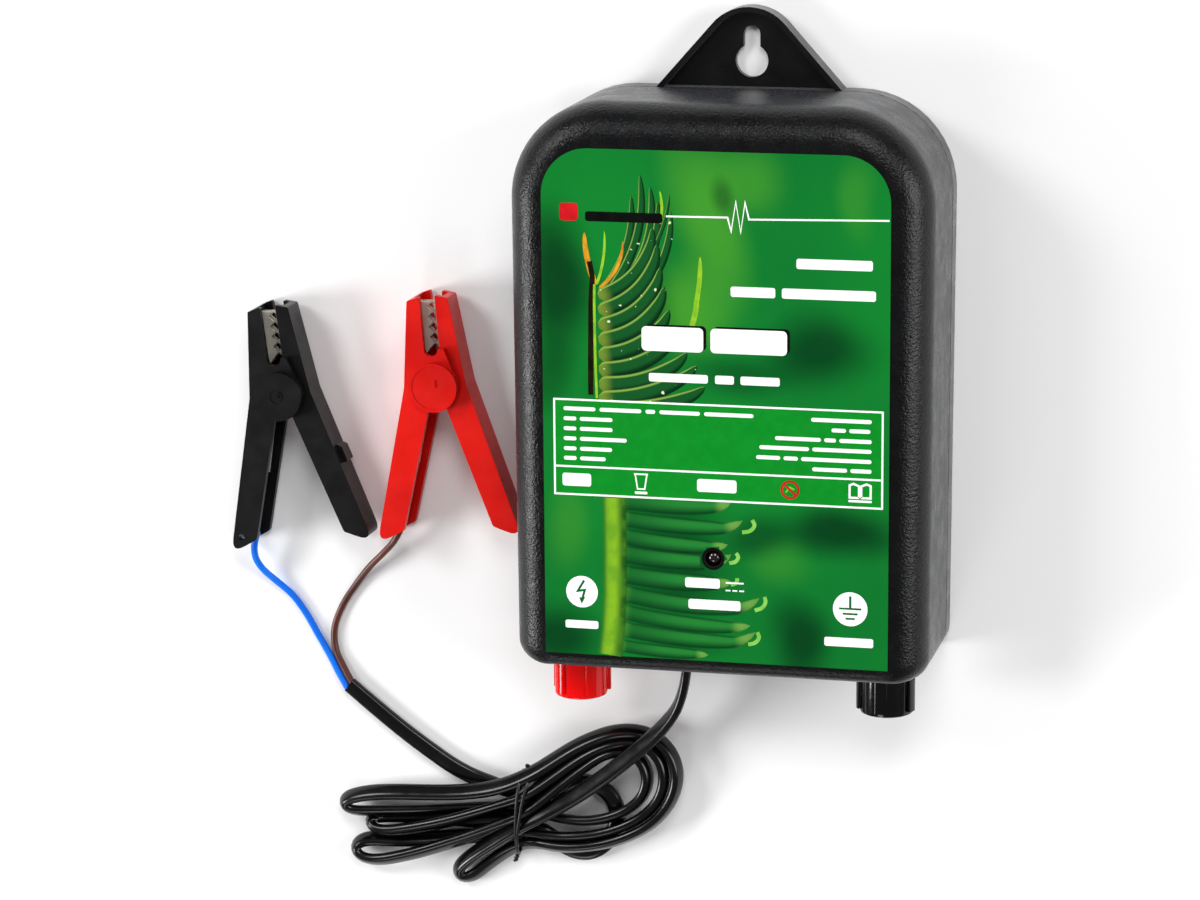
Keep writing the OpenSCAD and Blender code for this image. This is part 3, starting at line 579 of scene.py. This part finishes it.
def label_material():
    """Out-of-focus foliage: green with soft bright and dark patches at set places."""
    s = Shader("label_print", Roughness=0.34, Specular_IOR_Level=0.1)
    noise = s.node("TexNoise", {"Scale": 22, "Detail": 1.5, "Vector": s.coords}).outputs["Color"]
    drift = 0.016  # how far the noise, 0.5 on average, pulls the place that is looked up
    wander = s.node("Mix", {"Factor": drift, 4: s.coords, 5: noise}, data_type="VECTOR").outputs[1]

    def blob(base, colour, x, y, rx, ry, strength, turn):
        place = Vector((x, MID_Y + y, 0)) * MM * (1 - drift) + Vector((0.5, 0.5, 0.5)) * drift
        inputs = {"Vector": wander, "Location": place, "Rotation": (0, 0, math.radians(turn))}
        inputs["Scale"] = (rx * MM, ry * MM, 10)
        near = s.node("Mapping", inputs, vector_type="TEXTURE").outputs["Vector"]
        length = s.node("VectorMath", {0: near}, operation="LENGTH").outputs["Value"]
        return s.mix(s.remap(length, 0.15, 1.0, strength, 0.0), base, colour)

    bright, dark, lime = srgb("0f7a2b"), srgb("012a14"), srgb("45972a")
    base = s.mix(s.remap(s.noise(16, 1.0), 0.35, 0.68, 0, 0.55), bright, srgb("086527"))
    for colour, x, y, rx, ry, strength, turn in (
        (lime, -2, 52, 15, 34, 0.75, 12), (lime, 10, 66, 18, 14, 0.55, 0), (dark, 3, 60, 5, 9, 0.5, 0),
        (lime, -8, 26, 16, 18, 0.75, 0), (lime, 44, 62, 7, 16, 0.35, 0), (dark, -50, 34, 15, 34, 0.85, 0),
        (dark, -50, 6, 12, 18, 0.5, 0), (dark, 32, 16, 22, 17, 0.8, 0), (dark, 8, 8, 22, 9, 0.55, 0),
        (dark, 38, -40, 26, 12, 0.85, 0), (lime, 22, -52, 13, 12, 0.3, 0), (dark, 27, -76, 13, 16, 0.8, 0),
        (dark, -12, -80, 24, 7, 0.45, 0), (lime, -47, -42, 9, 18, 0.35, 0), (dark, -47, -76, 16, 14, 0.8, 0),
        (dark, -14, -50, 26, 34, 0.75, 0), (dark, -25, 14, 16, 30, 0.6, -12), (dark, 14, -42, 14, 12, 0.6, 0),
    ):
        base = blob(base, colour, x, y, rx, ry, strength, turn)
    s.colour(base)
    s.rough(s.noise(220), 0.28, 0.38)
    s.bump(s.noise(60, 2), 0.00003, 0.3)
    return s.mat


def stem_material():
    """Blurred stem, faded at both edges: across runs from 0 at its left to 1 at its right."""
    s = Shader("stem_print", Roughness=0.35, Specular_IOR_Level=0.1)
    across = s.read("across")
    base = s.mix(s.remap(across, 0.5, 0.85, 0, 1), srgb("7fb022"), srgb("1b5218"))
    base = s.mix(s.remap(across, 0.0, 0.4, 1, 0), base, srgb("3f8a26"))
    s.colour(s.mix(s.remap(s.noise(180, 2), 0.4, 0.65, 0, 0.5), base, srgb("4f8c22")))
    s.fade((s.remap(across, 0.0, 0.25, 1, 0), s.remap(across, 0.85, 1.0, 0, 1)), 1.0)
    return s.mat


def print_material(name, colour, dark):
    s = Shader(name, Roughness=0.35, Specular_IOR_Level=0.1)
    s.colour(s.mix(s.remap(s.noise(300), 0.3, 0.7, 0, 1), srgb(dark), srgb(colour)))
    s.rough(s.noise(200), 0.3, 0.42)
    return s.mat


def leaf_material():
    """Leaflet print: across is 0 at the lower edge and 1 at the upper, along runs from stem to tip.

    tone is 0 for a crisp leaflet, and above 0.35 for a blurred one with faded edges."""
    s = Shader("leaf_print", Roughness=0.35, Specular_IOR_Level=0.1)
    across, along, tone = s.read("across"), s.read("along"), s.read("tone")
    dark, mid, rim = srgb("022b11"), srgb("125222"), srgb("86ad4c")
    base = s.mix(s.remap(across, 0.1, 0.42, 0, 1), dark, mid)
    crisp = s.mix(s.remap(across, 0.8, 0.9, 0, 0.85), base, rim)
    crisp = s.mix(s.remap(across, 0.93, 1.0, 0, 0.9), crisp, dark)
    crisp = s.mix(s.remap(along, 0.03, 0.16, 0.5, 0), crisp, srgb("8fa637"))
    crisp = s.mix(s.remap(s.noise(480, 1), 0.72, 0.76, 0, 0.9), crisp, srgb("dfeec0"))
    soft = s.mix(s.remap(across, 0.1, 0.6, 0, 1), srgb("073f1b"), srgb("227c30"))
    soft = s.mix(s.remap(across, 0.7, 1.0, 0, 1), soft, srgb("073f1b"))
    soft = s.mix(s.remap(along, 0.1, 0.6, 0.55, 0), soft, srgb("094a1f"))
    soft = s.mix(s.remap(along, 0.84, 1.0, 0, 0.9), soft, srgb("93cc5c"))
    soft = s.mix(s.remap(along, 0.0, 0.12, 0.8, 0), soft, srgb("4d9a2e"))
    s.colour(s.mix(s.remap(tone, 0.3, 0.4, 0, 1), crisp, soft))
    edges = [s.remap(across, 0.0, 0.22, 1, 0), s.remap(across, 0.8, 1.0, 0, 1)]
    s.fade(edges + [s.remap(along, 0.88, 1.0, 0, 0.6)], s.remap(tone, 0.3, 0.4, 0, 1))
    s.rough(s.noise(200), 0.3, 0.42)
    return s.mat


class Print:
    """Flat printed shapes in one mesh: x and y are from the case's middle, z from the label's face.

    Each shape lies a little above the one before, so that no two are in one plane."""

    def __init__(self, name):
        self.name, self.points, self.faces, self.index, self.materials, self.shapes = name, [], [], [], [], 0
        self.values = {"across": [], "along": [], "tone": []}

    def shape(self, outline, material, z, quads=None, values=None):
        base = len(self.points)
        self.shapes += 1
        z += 0.0004 * self.shapes
        self.points += [(x, MID_Y + y, LABEL_Z + z) for x, y in outline]
        quads = quads or [tuple(range(len(outline)))]
        self.faces += [tuple(i + base for i in q) for q in quads]
        if material not in self.materials:
            self.materials.append(material)
        self.index += [self.materials.index(material)] * len(quads)
        for key in self.values:
            self.values[key] += (values or {}).get(key, [0.0] * len(outline))

    def bar(self, x0, y0, x1, y1, material, z=0.05, radius=None):
        r = min(x1 - x0, y1 - y0) / 2 if radius is None else radius
        self.shape(
            arc(x1 - r, y0 + r, r, -90, 0, 6) + arc(x1 - r, y1 - r, r, 0, 90, 6)
            + arc(x0 + r, y1 - r, r, 90, 180, 6) + arc(x0 + r, y0 + r, r, 180, 270, 6), material, z)

    def line(self, route, width, material, z=0.05):
        """A mitred line of constant width."""
        p = np.array(route, float)
        left, right = [], []
        for i in range(len(p)):
            a = unit(p[min(i + 1, len(p) - 1)] - p[i]) if i < len(p) - 1 else unit(p[i] - p[i - 1])
            b = unit(p[i] - p[max(i - 1, 0)]) if i else a
            n = unit(a + b)
            n = np.array([-n[1], n[0]])
            reach = width / 2 / max(abs(np.dot(n, [-a[1], a[0]])), 0.35)
            left.append(tuple(p[i] + n * reach))
            right.append(tuple(p[i] - n * reach))
        count = len(p)
        values = {"across": [0.0] * count + [1.0] * count, "along": [0.5] * 2 * count}
        quads = [(i, i + 1, count + i + 1, count + i) for i in range(count - 1)]
        self.shape(right + left, material, z, quads, values)

    def ring(self, x, y, outer, inner, material):
        n = 48
        quads = [(i, (i + 1) % n, n + (i + 1) % n, n + i) for i in range(n)]
        self.shape(circle(x, y, outer) + circle(x, y, inner), material, 0.05, quads)

    def drop_round(self, x, y, r):
        """Leaves out the faces that touch a round hole."""
        far = [math.dist(p[:2], (x, MID_Y + y)) > r for p in self.points]
        kept = [k for k, face in enumerate(self.faces) if all(far[i] for i in face)]
        self.faces, self.index = [self.faces[k] for k in kept], [self.index[k] for k in kept]

    def make(self):
        mesh = new_mesh(self.name, self.points, self.faces, self.index)
        for key, data in self.values.items():
            mesh.attributes.new(key, "FLOAT", "POINT").data.foreach_set("value", data)
        piece(self.name, mesh, self.materials)


def leaflet(art, material, root, tip, bow, width, curl=0.0, tone=0.0, z=0.02):
    """A tapering leaflet from root to tip; bow bends it and curl hooks its tip upwards."""
    a, b = np.array(root, float), np.array(tip, float)
    d = b - a
    n = unit(np.array([-d[1], d[0]]))
    line, steps = [], 26
    for i in range(steps + 1):
        u = i / steps
        hook = max(u - 0.82, 0) / 0.18
        line.append(a + d * u + n * (curl * hook**2 - bow * 4 * u * (1 - u)))
    line = np.array(line)
    points, values, rows = [], {"across": [], "along": [], "tone": []}, 5
    for i, p in enumerate(line):
        u = i / steps
        t = unit(line[min(i + 1, steps)] - line[max(i - 1, 0)])
        side = np.array([-t[1], t[0]])
        half = width / 2 * min(1, (u * 7) ** 0.5 + 0.35) * max(1 - u**5, 0) ** 0.6 + 0.03
        for k in range(rows):
            s = k / (rows - 1)
            points.append(tuple(p + side * half * (2 * s - 1)))
            values["across"].append(s)
            values["along"].append(u)
            values["tone"].append(tone)
    quads = [
        (i * rows + k, (i + 1) * rows + k, (i + 1) * rows + k + 1, i * rows + k + 1)
        for i in range(steps) for k in range(rows - 1)
    ]
    art.shape(points, material, z, quads, values)


def make_label():
    w, low, high, r = 53.3, -82.6, 74.2, 14.5
    corners = arc(w - r, high - r, r, 0, 90, 24) + arc(-w + r, high - r, r, 90, 180, 24)
    rings = [[(x, MID_Y + y, z) for x, y in [(-w, low), (w, low)] + corners] for z in (CASE_D, LABEL_Z)]
    mesh = new_mesh("label", *loft(rings))
    label = piece("label", mesh, [label_material()], ("front_label",))
    cut_hole(label, (LED_X, MID_Y + LED_Y, CASE_D), UP, 2.8, 6)

    white, box, black, red, green, stem, lime, gold, hook = (
        print_material(f"print_{name}", colour, dark) for name, colour, dark in (
            ("white", "fcfdfc", "f4f6f4"), ("box", "0c8a25", "0a8323"), ("black", "0a0d0a", "050705"),
            ("red", "cf1a22", "b8141b"), ("green", "0c6a2c", "095a24"), ("stem", "1c1408", "0d0a04"),
            ("lime", "98c62c", "6fae26"), ("gold", "dca52a", "b9761c"), ("curl", "8ccb5a", "6fb546"),
        )
    )
    leaf = leaf_material()

    fern = Print("label_fern")
    # Upper half: narrow leaflets behind, then the dense rows from the stem up and to the right
    for root, tip, bow, width in (
        ((-35.5, 30), (-25.4, 60.5), 3.5, 2.6), ((-34, 29), (-22.7, 67), 4.5, 2.8),
        ((-32, 29), (-19.6, 63.5), 5, 3), ((-31, 27), (-17.2, 59), 4.5, 3.2),
        ((-30, 25), (-13.2, 56), 5, 2.8), ((-20, 42), (-13.6, 61), 1.2, 1.2),
    ):
        leaflet(fern, leaf, root, tip, bow, width, tone=0.2, z=0.006)
    for root, tip, bow, width in (
        ((-35.7, 29.5), (-18.4, 50.5), 4.2, 4.4), ((-35.7, 25), (-17, 45.5), 4.4, 4.6),
        ((-35.7, 20.5), (-16, 38.5), 4.2, 4.8), ((-35.7, 16), (-14.8, 32.5), 4, 5),
        ((-35.7, 11.5), (-13.4, 25.5), 3.6, 5), ((-35.7, 7), (-11.4, 18.5), 3.2, 5),
        ((-35.7, 2.5), (-8, 12.5), 3, 5.2), ((-35.7, -2), (-5, 8.6), 2.8, 5.2),
        ((-34, -5), (-2.6, 2.2), 2.4, 5.2),
    ):
        leaflet(fern, leaf, root, tip, bow, width, 0.8, z=0.012 + 0.0006 * (30 - root[1]))
    # Lower half: blurred rows, nearly level, with some tips curled up
    for y, tip, bow, width, curl, tone in (
        (-33.5, (5, -34), 0.6, 6.2, 1.5, 0.75), (-38.8, (8.5, -40.5), 0.9, 5.8, 2.6, 0.8),
        (-44.2, (4, -46.6), 1, 5.8, 1, 0.75), (-49.8, (5, -51.2), 1, 6.4, 2.6, 0.6),
        (-56.2, (5.5, -57.8), 1, 6.6, 0.6, 0.5), (-62.2, (13.6, -65.2), 1.6, 6.2, 3.4, 0.45),
        (-68, (11, -71.4), 1.4, 5.8, 0.8, 0.5), (-73.6, (12.4, -76), 1.2, 5.8, 3.4, 0.4),
        (-79, (-2, -80.6), 0.6, 4.6, 0, 0.6),
    ):
        leaflet(fern, leaf, (-30.5, y), tip, bow, width, curl, tone=tone, z=0.012 - 0.0001 * y)
    # Young leaves at the top of the stem, the stem in its two halves and two blurred leaves at the right
    for root, tip, bow, width, look in (
        ((-36.6, 33), (-39.9, 48.8), -0.8, 1.7, gold), ((-36.2, 33), (-33.7, 49.4), 0.9, 0.8, lime),
        ((-35.4, 32), (-28, 46.5), 2.0, 1.0, gold), ((-5.8, 27), (-4.3, 42.5), 0.5, 1.5, lime),
        ((-7, 21), (-5.2, 31), 0.4, 1.7, lime), ((-16.5, 52), (-16.6, 62), 0.6, 0.8, lime),
    ):
        leaflet(fern, look, root, tip, bow, width, z=0.035)
    fern.line([(-38.4, 40), (-37.5, 35), (-38, 28), (-38.2, 16), (-38.3, 6), (-38.3, -1)], 1.6, stem, 0.036)
    fern.line([(-36.9, 33), (-37, 27), (-36.9, 16), (-36.7, 6), (-36.4, -2)], 0.8, lime, 0.037)
    lower_stem = [(-31.3, -32.8), (-31.1, -48.6), (-31.3, -63), (-31.9, -74), (-32.9, -82.4)]
    fern.line(lower_stem, 8.4, stem_material(), 0.036)
    for curl in (
        [(8.5, -41.6), (11, -41), (12.4, -39.2), (11.6, -37.6)],
        [(4.5, -51.4), (6.6, -50.8), (7.4, -49.2), (6.6, -48.2)], [(5, -58.2), (6.8, -57.4), (7, -56)],
        [(12.4, -65.8), (14.8, -64.8), (15.8, -62.8), (15.4, -61.4)],
        [(10.4, -76.6), (12.8, -75.8), (13.8, -74), (13.2, -72.6)],
    ):
        fern.line(smooth_route([(x, y, 0) for x, y in curl], 0.35, 3)[:, :2], 1.2, hook, 0.038)
    fern.drop_round(LED_X, LED_Y, 3.1)
    fern.make()

    art = Print("label_print")
    art.ring(LED_X, LED_Y, 3.5, 2.75, black)
    zigzag = [(4.1, 54.6), (5.2, 50.4), (6.6, 59.4), (8.1, 50.2), (9.4, 59.3), (10.6, 54.2)]
    art.line([(-14.7, 54.4), *zigzag, (52.9, 55.1)], 0.55, white)
    # Bars where the words are
    art.bar(-47.6, 52.2, -41.8, 57.6, red, radius=1.2)
    art.bar(-39.6, 52.2, -15.8, 55.2, black, radius=0.8)
    art.bar(25, 39.8, 48, 42.9, white, radius=0.7)
    for x0, x1 in ((5, 18.6), (20.6, 49)):
        art.bar(x0, 30.7, x1, 33.8, white, radius=0.7)
    for x0, x1 in ((-22.4, -3.4), (-1.2, 22.2)):
        art.bar(x0 + 0.9, 13.9, x1 + 0.9, 21.4, black, z=0.045, radius=1.4)
        art.bar(x0, 13.3, x1, 20.8, white, radius=1.4)
    for x0, x1 in ((-20.2, -2), (0.2, 6), (8, 20)):
        art.bar(x0, 3.9, x1, 6.5, white, radius=0.6)
    # Information box, with generic symbols in its lower row
    art.shape([(-50.1, -32.6), (51.7, -32.6), (51.5, -2.4), (-50.1, -2.4)], box, 0.04)
    for y in (-2.7, -32.2, -23.5):
        art.line([(-50, y), (51.5, y)], 0.6, white)
    for x in (-49.8, 51.3):
        art.line([(x, -32.4), (x, -2.5)], 0.6, white)
    for y, words in (
        (-5.5, ((-46.9, 10), (-35.6, 13), (-21.3, 3), (-17, 12.5), (-3.2, 15.2))),
        (-8.6, ((-46.9, 4), (-41.8, 10.2))), (-11.7, ((-46.9, 4), (-41.8, 10.2))),
        (-14.8, ((-46.9, 4), (-41.8, 14.6))), (-17.9, ((-46.9, 4), (-41.8, 10))),
        (-20.9, ((-46.9, 4), (-41.8, 8))), (-5.8, ((29.6, 18.4),)), (-8.8, ((35.8, 4.4), (41.2, 6.4))),
        (-11.9, ((18.6, 14), (33.6, 3.6), (38.2, 9.8))), (-14.9, ((13.8, 15.2), (30, 18))),
        (-18, ((12.8, 7.4), (21.2, 4.4), (26.6, 21.4))), (-21, ((30, 10.6), (41.6, 6.4))),
    ):
        for x, w in words:
            art.bar(x, y - 0.6, x + w, y + 0.6, white)
    art.bar(-47.4, -29.6, -38.4, -25.6, white, radius=0.8)
    art.bar(-5.4, -29.6, 6.8, -25.6, white, radius=0.8)
    art.line([(-24.6, -25.2), (-23.9, -29.6), (-21.7, -29.6), (-21, -25.2)], 0.45, white)
    art.line([(-25, -25), (-20.6, -25)], 0.5, white)
    art.bar(-24.8, -31.2, -20.8, -30.4, white)
    art.ring(23.2, -27.7, 2.9, 2.25, red)
    art.line([(21.4, -26), (25, -29.4)], 0.65, red)
    art.line([(21.9, -28.6), (23.1, -26.9), (24.6, -27.6)], 0.5, lime, 0.045)
    for s in (-1, 1):
        page = [(0.25, -29.2), (3.2, -29.2), (3.2, -25.4), (2, -24.9), (0.35, -25.6), (0.35, -29.2)]
        art.line([(44.6 + s * x, y) for x, y in page], 0.65, white)
    art.bar(41, -30.6, 48.2, -29.9, white)
    # Terminal symbols and the bars under them
    art.shape(circle(-41.6, -62.8, 5.0), white, 0.05)
    art.line([(-40.9, -59.2), (-42.9, -62.6), (-40.7, -62.2), (-41.5, -65)], 0.7, green, 0.06)
    art.shape([(-42.5, -64.7), (-40.6, -64.4), (-41.7, -66.7)], green, 0.06)
    art.shape(circle(41.8, -63.8, 5.3), white, 0.05)
    art.line([(41.8, -59.8), (41.8, -63.7)], 0.7, green, 0.06)
    for half, y in ((3.4, -63.7), (2.3, -65.3), (1.4, -66.8)):
        art.line([(41.8 - half, y), (41.8 + half, y)], 0.6, green, 0.06)
    art.bar(-46.9, -74.4, -36.5, -71.9, white, radius=0.6)
    art.bar(33.9, -75.6, 48.9, -72.8, white, radius=0.6)
    # Rating bars and the usual sign for direct current
    art.bar(-9.2, -59.6, 1.6, -56.5, white, radius=0.7)
    art.bar(-8.2, -66.3, 8, -63.2, white, radius=0.7)
    art.line([(3.4, -57.6), (9, -57.6)], 0.5, white)
    for k in range(3):
        art.line([(3.4 + 2.1 * k, -60), (4.9 + 2.1 * k, -60)], 0.45, white)
    art.make()


make_label()


# ---------- battery clips ----------
def rounded(points, radii, steps=6):
    """Closed outline with its corners rounded."""
    out, n = [], len(points)
    for i, r in enumerate(radii):
        a, b, c = (np.array(points[(i + k) % n], float) for k in (-1, 0, 1))
        u, v = unit(a - b), unit(c - b)
        if r <= 0:
            out.append(tuple(b))
            continue
        half = math.acos(max(-1, min(1, float(np.dot(u, v))))) / 2
        reach = r / math.tan(half)
        p, q = b + u * reach, b + v * reach
        for k in range(steps + 1):
            t = k / steps
            out.append(tuple((1 - t) ** 2 * p + 2 * t * (1 - t) * b + t * t * q))
    return out


# Half the slot between the jaws, the height of a clip, its sheet and the disc over its pivot
SLOT, CLIP_T, FLANGE, DISC_T = 2.2, 15.0, 2.0, 1.9


def along_handle(reach):
    """Point on the middle line of a handle and the direction across it."""
    a = math.radians(21.5)
    across = np.array([math.cos(a), math.sin(a)])
    return reach * np.array([-math.sin(a), -math.cos(a)]), across


def clip_outline(s):
    """Outline of one half, jaw up and handle down; s is 1 for the fixed half at the left."""
    end, across = along_handle(52)
    points = [
        (-SLOT, 29), (-6.4, 27.8), (-9.9, 0), tuple(end - 5 * across), tuple(end + 5 * across + (0, 0.4)),
        (-2.6, -7.4), (-0.6, 0), (-SLOT, 8.6),
    ]
    return [(s * x, y) for x, y in rounded(points, [0.6, 0.8, 9, 2.6, 1.6, 1.5, 0, 0])]


def channel(s):
    """What is cut out between the flanges, so that a half is folded from sheet."""
    end, across = along_handle(56)
    inner = [(-SLOT - 2, 39), (-6.4 + FLANGE, 26), (-9.4 + FLANGE, 0), tuple(end - (5 - FLANGE) * across)]
    return [(s * 9, -60), (s * 9, 40)] + [(s * x, y) for x, y in inner]


def clip_half(colour, half, pivot, turn, marks):
    fixed = half == "fixed"
    s, low, ear = (1, 0, 8) if fixed else (-1, FLANGE + 0.3, 6.6)
    parts = [("DIFFERENCE", channel(s), low + FLANGE, CLIP_T - low - FLANGE)]
    for z in (low, CLIP_T - low - FLANGE):
        parts.append(("UNION", circle(0, 0, ear, 64), z, z + FLANGE))
    if fixed:
        # The top plate runs on below the gap between the jaws, with a round end there
        bridge = [(-4, 5), (-4, 12)] + arc(0, 12, SLOT + 0.02, 180, 360, 14) + [(4.2, 12), (6.6, 4.6)]
        parts.append(("UNION", bridge, CLIP_T - FLANGE, CLIP_T))
        for z0, z1 in ((-1, 0.5), (CLIP_T - 0.5, CLIP_T + DISC_T)):
            parts.append(("UNION", circle(0, 0, 7.85, 64), z0, z1))
    mesh = combine(prism(clip_outline(s), low, CLIP_T - low), parts + marks)
    mesh.transform(Matrix.Translation(Vector((*pivot, 1)) * MM) @ Matrix.Rotation(math.radians(turn), 4, "Z"))
    finish, body = f"clip_{colour}", "root" if fixed else f"{colour}_clip_moving"
    obj = piece(f"{colour}_{half}", mesh, [M[finish]], (f"{colour}_clip_{half}_half",), body)
    round_edges(obj, 0.35, 2, 35)


def make_clips():
    """Both clips, with a small mark in the middle of the pivot's disc and bumps on the fixed handle."""
    top = CLIP_T + DISC_T

    def bumps(*places):
        return [("UNION", circle(x, y, 0.8, 16), 9, 12) for x, y in places]

    def bar(points, radius, z0, z1):
        return ("UNION", rounded(points, [radius] * len(points), 2), z0, z1)

    black, red = ((-149.5, -18), 7), ((-98, -13), 4.5)  # the pivot, and the turn in degrees
    clip_half("black", "fixed", *black, [
        ("DIFFERENCE", circle(0, 0, 2.4, 32), top - 0.25, top + 1),
        ("UNION", circle(0, 0, 1.6, 32), top - 1, top + 0.05),
        ("UNION", circle(0.1, 0.2, 0.6, 16), top - 1, top + 0.4),
        *bumps((-16.9, -26), (-20.9, -40)),
        ("DIFFERENCE", circle(-19.4, -45, 1.0, 24), CLIP_T - 3, CLIP_T + 1),
    ])
    tab = bar([(14, -17.5), (16.9, -19), (18.3, -24), (16, -24)], 0.5, 4, 10)
    clip_half("black", "moving", *black, [tab])
    clip_half("red", "fixed", *red, [
        ("DIFFERENCE", circle(0, 0, 6.9, 48), top - 0.2, top + 1),
        bar([(0.5, 0.2), (1.1, 0.2), (1.1, 2.4), (0.5, 2.4)], 0.1, top - 1, top + 0.2),
        *bumps((-15.1, -19.6)),
    ])
    clip_half("red", "moving", *red, [])


make_clips()


# ---------- terminal knobs ----------
KNOB_T = 11.7
KNOB_Y = BOTTOM_Y - 2 - 0.3 - 1.2 - 0.3  # below the collar, a gap, the washer and a gap


def make_knob(name, x, first, finish):
    """Round knob with five broad ribs, and a blind hole for the stud."""
    steps = ((8.3, 0), (8.3, KNOB_T - 1.1), (8.0, KNOB_T - 0.35), (7.3, KNOB_T))
    body = new_mesh("knob", *loft([[(*p, z) for p in circle(0, 0, r, 72)] for r, z in steps]))
    section = ((7.6, -13), (9.2, -12), (9.45, -8), (9.5, 0), (9.45, 8), (9.2, 12), (7.6, 13))
    parts = []
    for k in range(5):
        turned = [(r, math.radians(first + 72 * k + d)) for r, d in section]
        parts.append(("UNION", [(r * math.sin(a), r * math.cos(a)) for r, a in turned], 0, KNOB_T - 1.6))
    parts.append(("DIFFERENCE", circle(0, 0, 3.05, 36), -1, KNOB_T - 2.4))
    mesh = combine(body, parts)
    place = Matrix.Translation(Vector((x, KNOB_Y, TERMINAL_Z)) * MM)
    mesh.transform(place @ Matrix.Rotation(math.radians(90), 4, "X"))
    round_edges(piece(f"{name}_turned", mesh, [M[finish]], (name,), name), 0.25, 3, 30)


make_knob("fence_knob", -TERMINAL_X, 36, "knob_red")
make_knob("earth_knob", TERMINAL_X, -3, "knob_black")


# ---------- CAD nodes that keep their shape ----------
FINISH = {
    "cover": "back_cover",
    "seal": "case_seal cord_grommet",
    "steel": "case_screws board_screws black_clip_rivet red_clip_rivet black_clip_spring red_clip_spring",
    "board": "circuit_board",
    "led": "status_led",
    "black": "led_holder thyristor control_chip diodes fence_collar earth_collar earth_lead",
    "core": "transformer_core",
    "bobbin": "transformer_bobbin",
    "copper_y": "primary_winding secondary_winding",
    "copper_z": "choke_winding",
    "plated": "transformer_strap fence_stud earth_stud fence_nut earth_nut fence_washer earth_washer",
    "capacitor": "storage_capacitor",
    "sleeve": "filter_capacitors",
    "sink": "heat_sink",
    "resistor": "resistors",
    "glass": "fuse",
    "brass": "fuse_clips fence_tag earth_tag",
    "ferrite": "choke_core",
    "lead_red": "fence_lead",
    "lead_blue": "power_leads",
    "jaw": "black_clip_fixed_teeth black_clip_moving_teeth red_clip_fixed_teeth red_clip_moving_teeth",
}
for finish, names in FINISH.items():
    for name in names.split():
        mesh = nodes[name].data
        mesh.materials.clear()
        mesh.materials.append(M[finish])
for name, width in (("back_cover", 0.4), ("fence_collar", 0.25), ("earth_collar", 0.25)):
    soften(nodes[name], width)

make_cord(make_tie())
make_wire("wire_to_black_clip", BLUE_ROUTE, "wire_blue", "blue_wire")
make_wire("wire_to_red_clip", BROWN_ROUTE, "wire_brown", "brown_wire")


# ---------- stage and light ----------
def make_stage():
    s = Shader("floor_paper", Roughness=0.9, Specular_IOR_Level=0.1)
    s.colour(s.mix(s.noise(4, 2), srgb("f7f7f7"), srgb("fcfcfc")))
    s.bump(s.noise(500, 2), 0.00002, 0.2)
    far = 3000
    mesh = new_mesh("floor", [(-far, -far, 0), (far, -far, 0), (far, far, 0), (-far, far, 0)], [(0, 1, 2, 3)])
    mesh.materials.append(s.mat)
    floor = link(bpy.data.objects.new("floor", mesh))
    world = bpy.data.worlds.new("world")
    world.use_nodes = True
    sky = world.node_tree.nodes["Background"].inputs
    sky["Color"].default_value, sky["Strength"].default_value = (1, 1, 1, 1), 0.2
    bpy.context.scene.world = world
    for name, place, size, watts in (
        ("left", (-1000, 700, 1000), 0.5, 8), ("right", (1250, 100, 700), 0.9, 13),
        ("front", (-350, -1300, 1000), 0.6, 3.5), ("low_left", (-1250, -260, 640), 0.5, 12),
        ("back", (300, 1000, 1300), 0.7, 9),
    ):
        data = bpy.data.lights.new(name, "AREA")
        data.shape, data.size, data.energy = "DISK", size, watts
        lamp = link(bpy.data.objects.new(name, data))
        lamp.location = Vector(place) * MM
        lamp.rotation_mode = "QUATERNION"
        lamp.rotation_quaternion = (Vector((0, -20, 20)) * MM - lamp.location).to_track_quat("-Z", "Y")
    bpy.context.scene.view_settings.view_transform = "Standard"


make_stage()

bpy.context.view_layer.update()
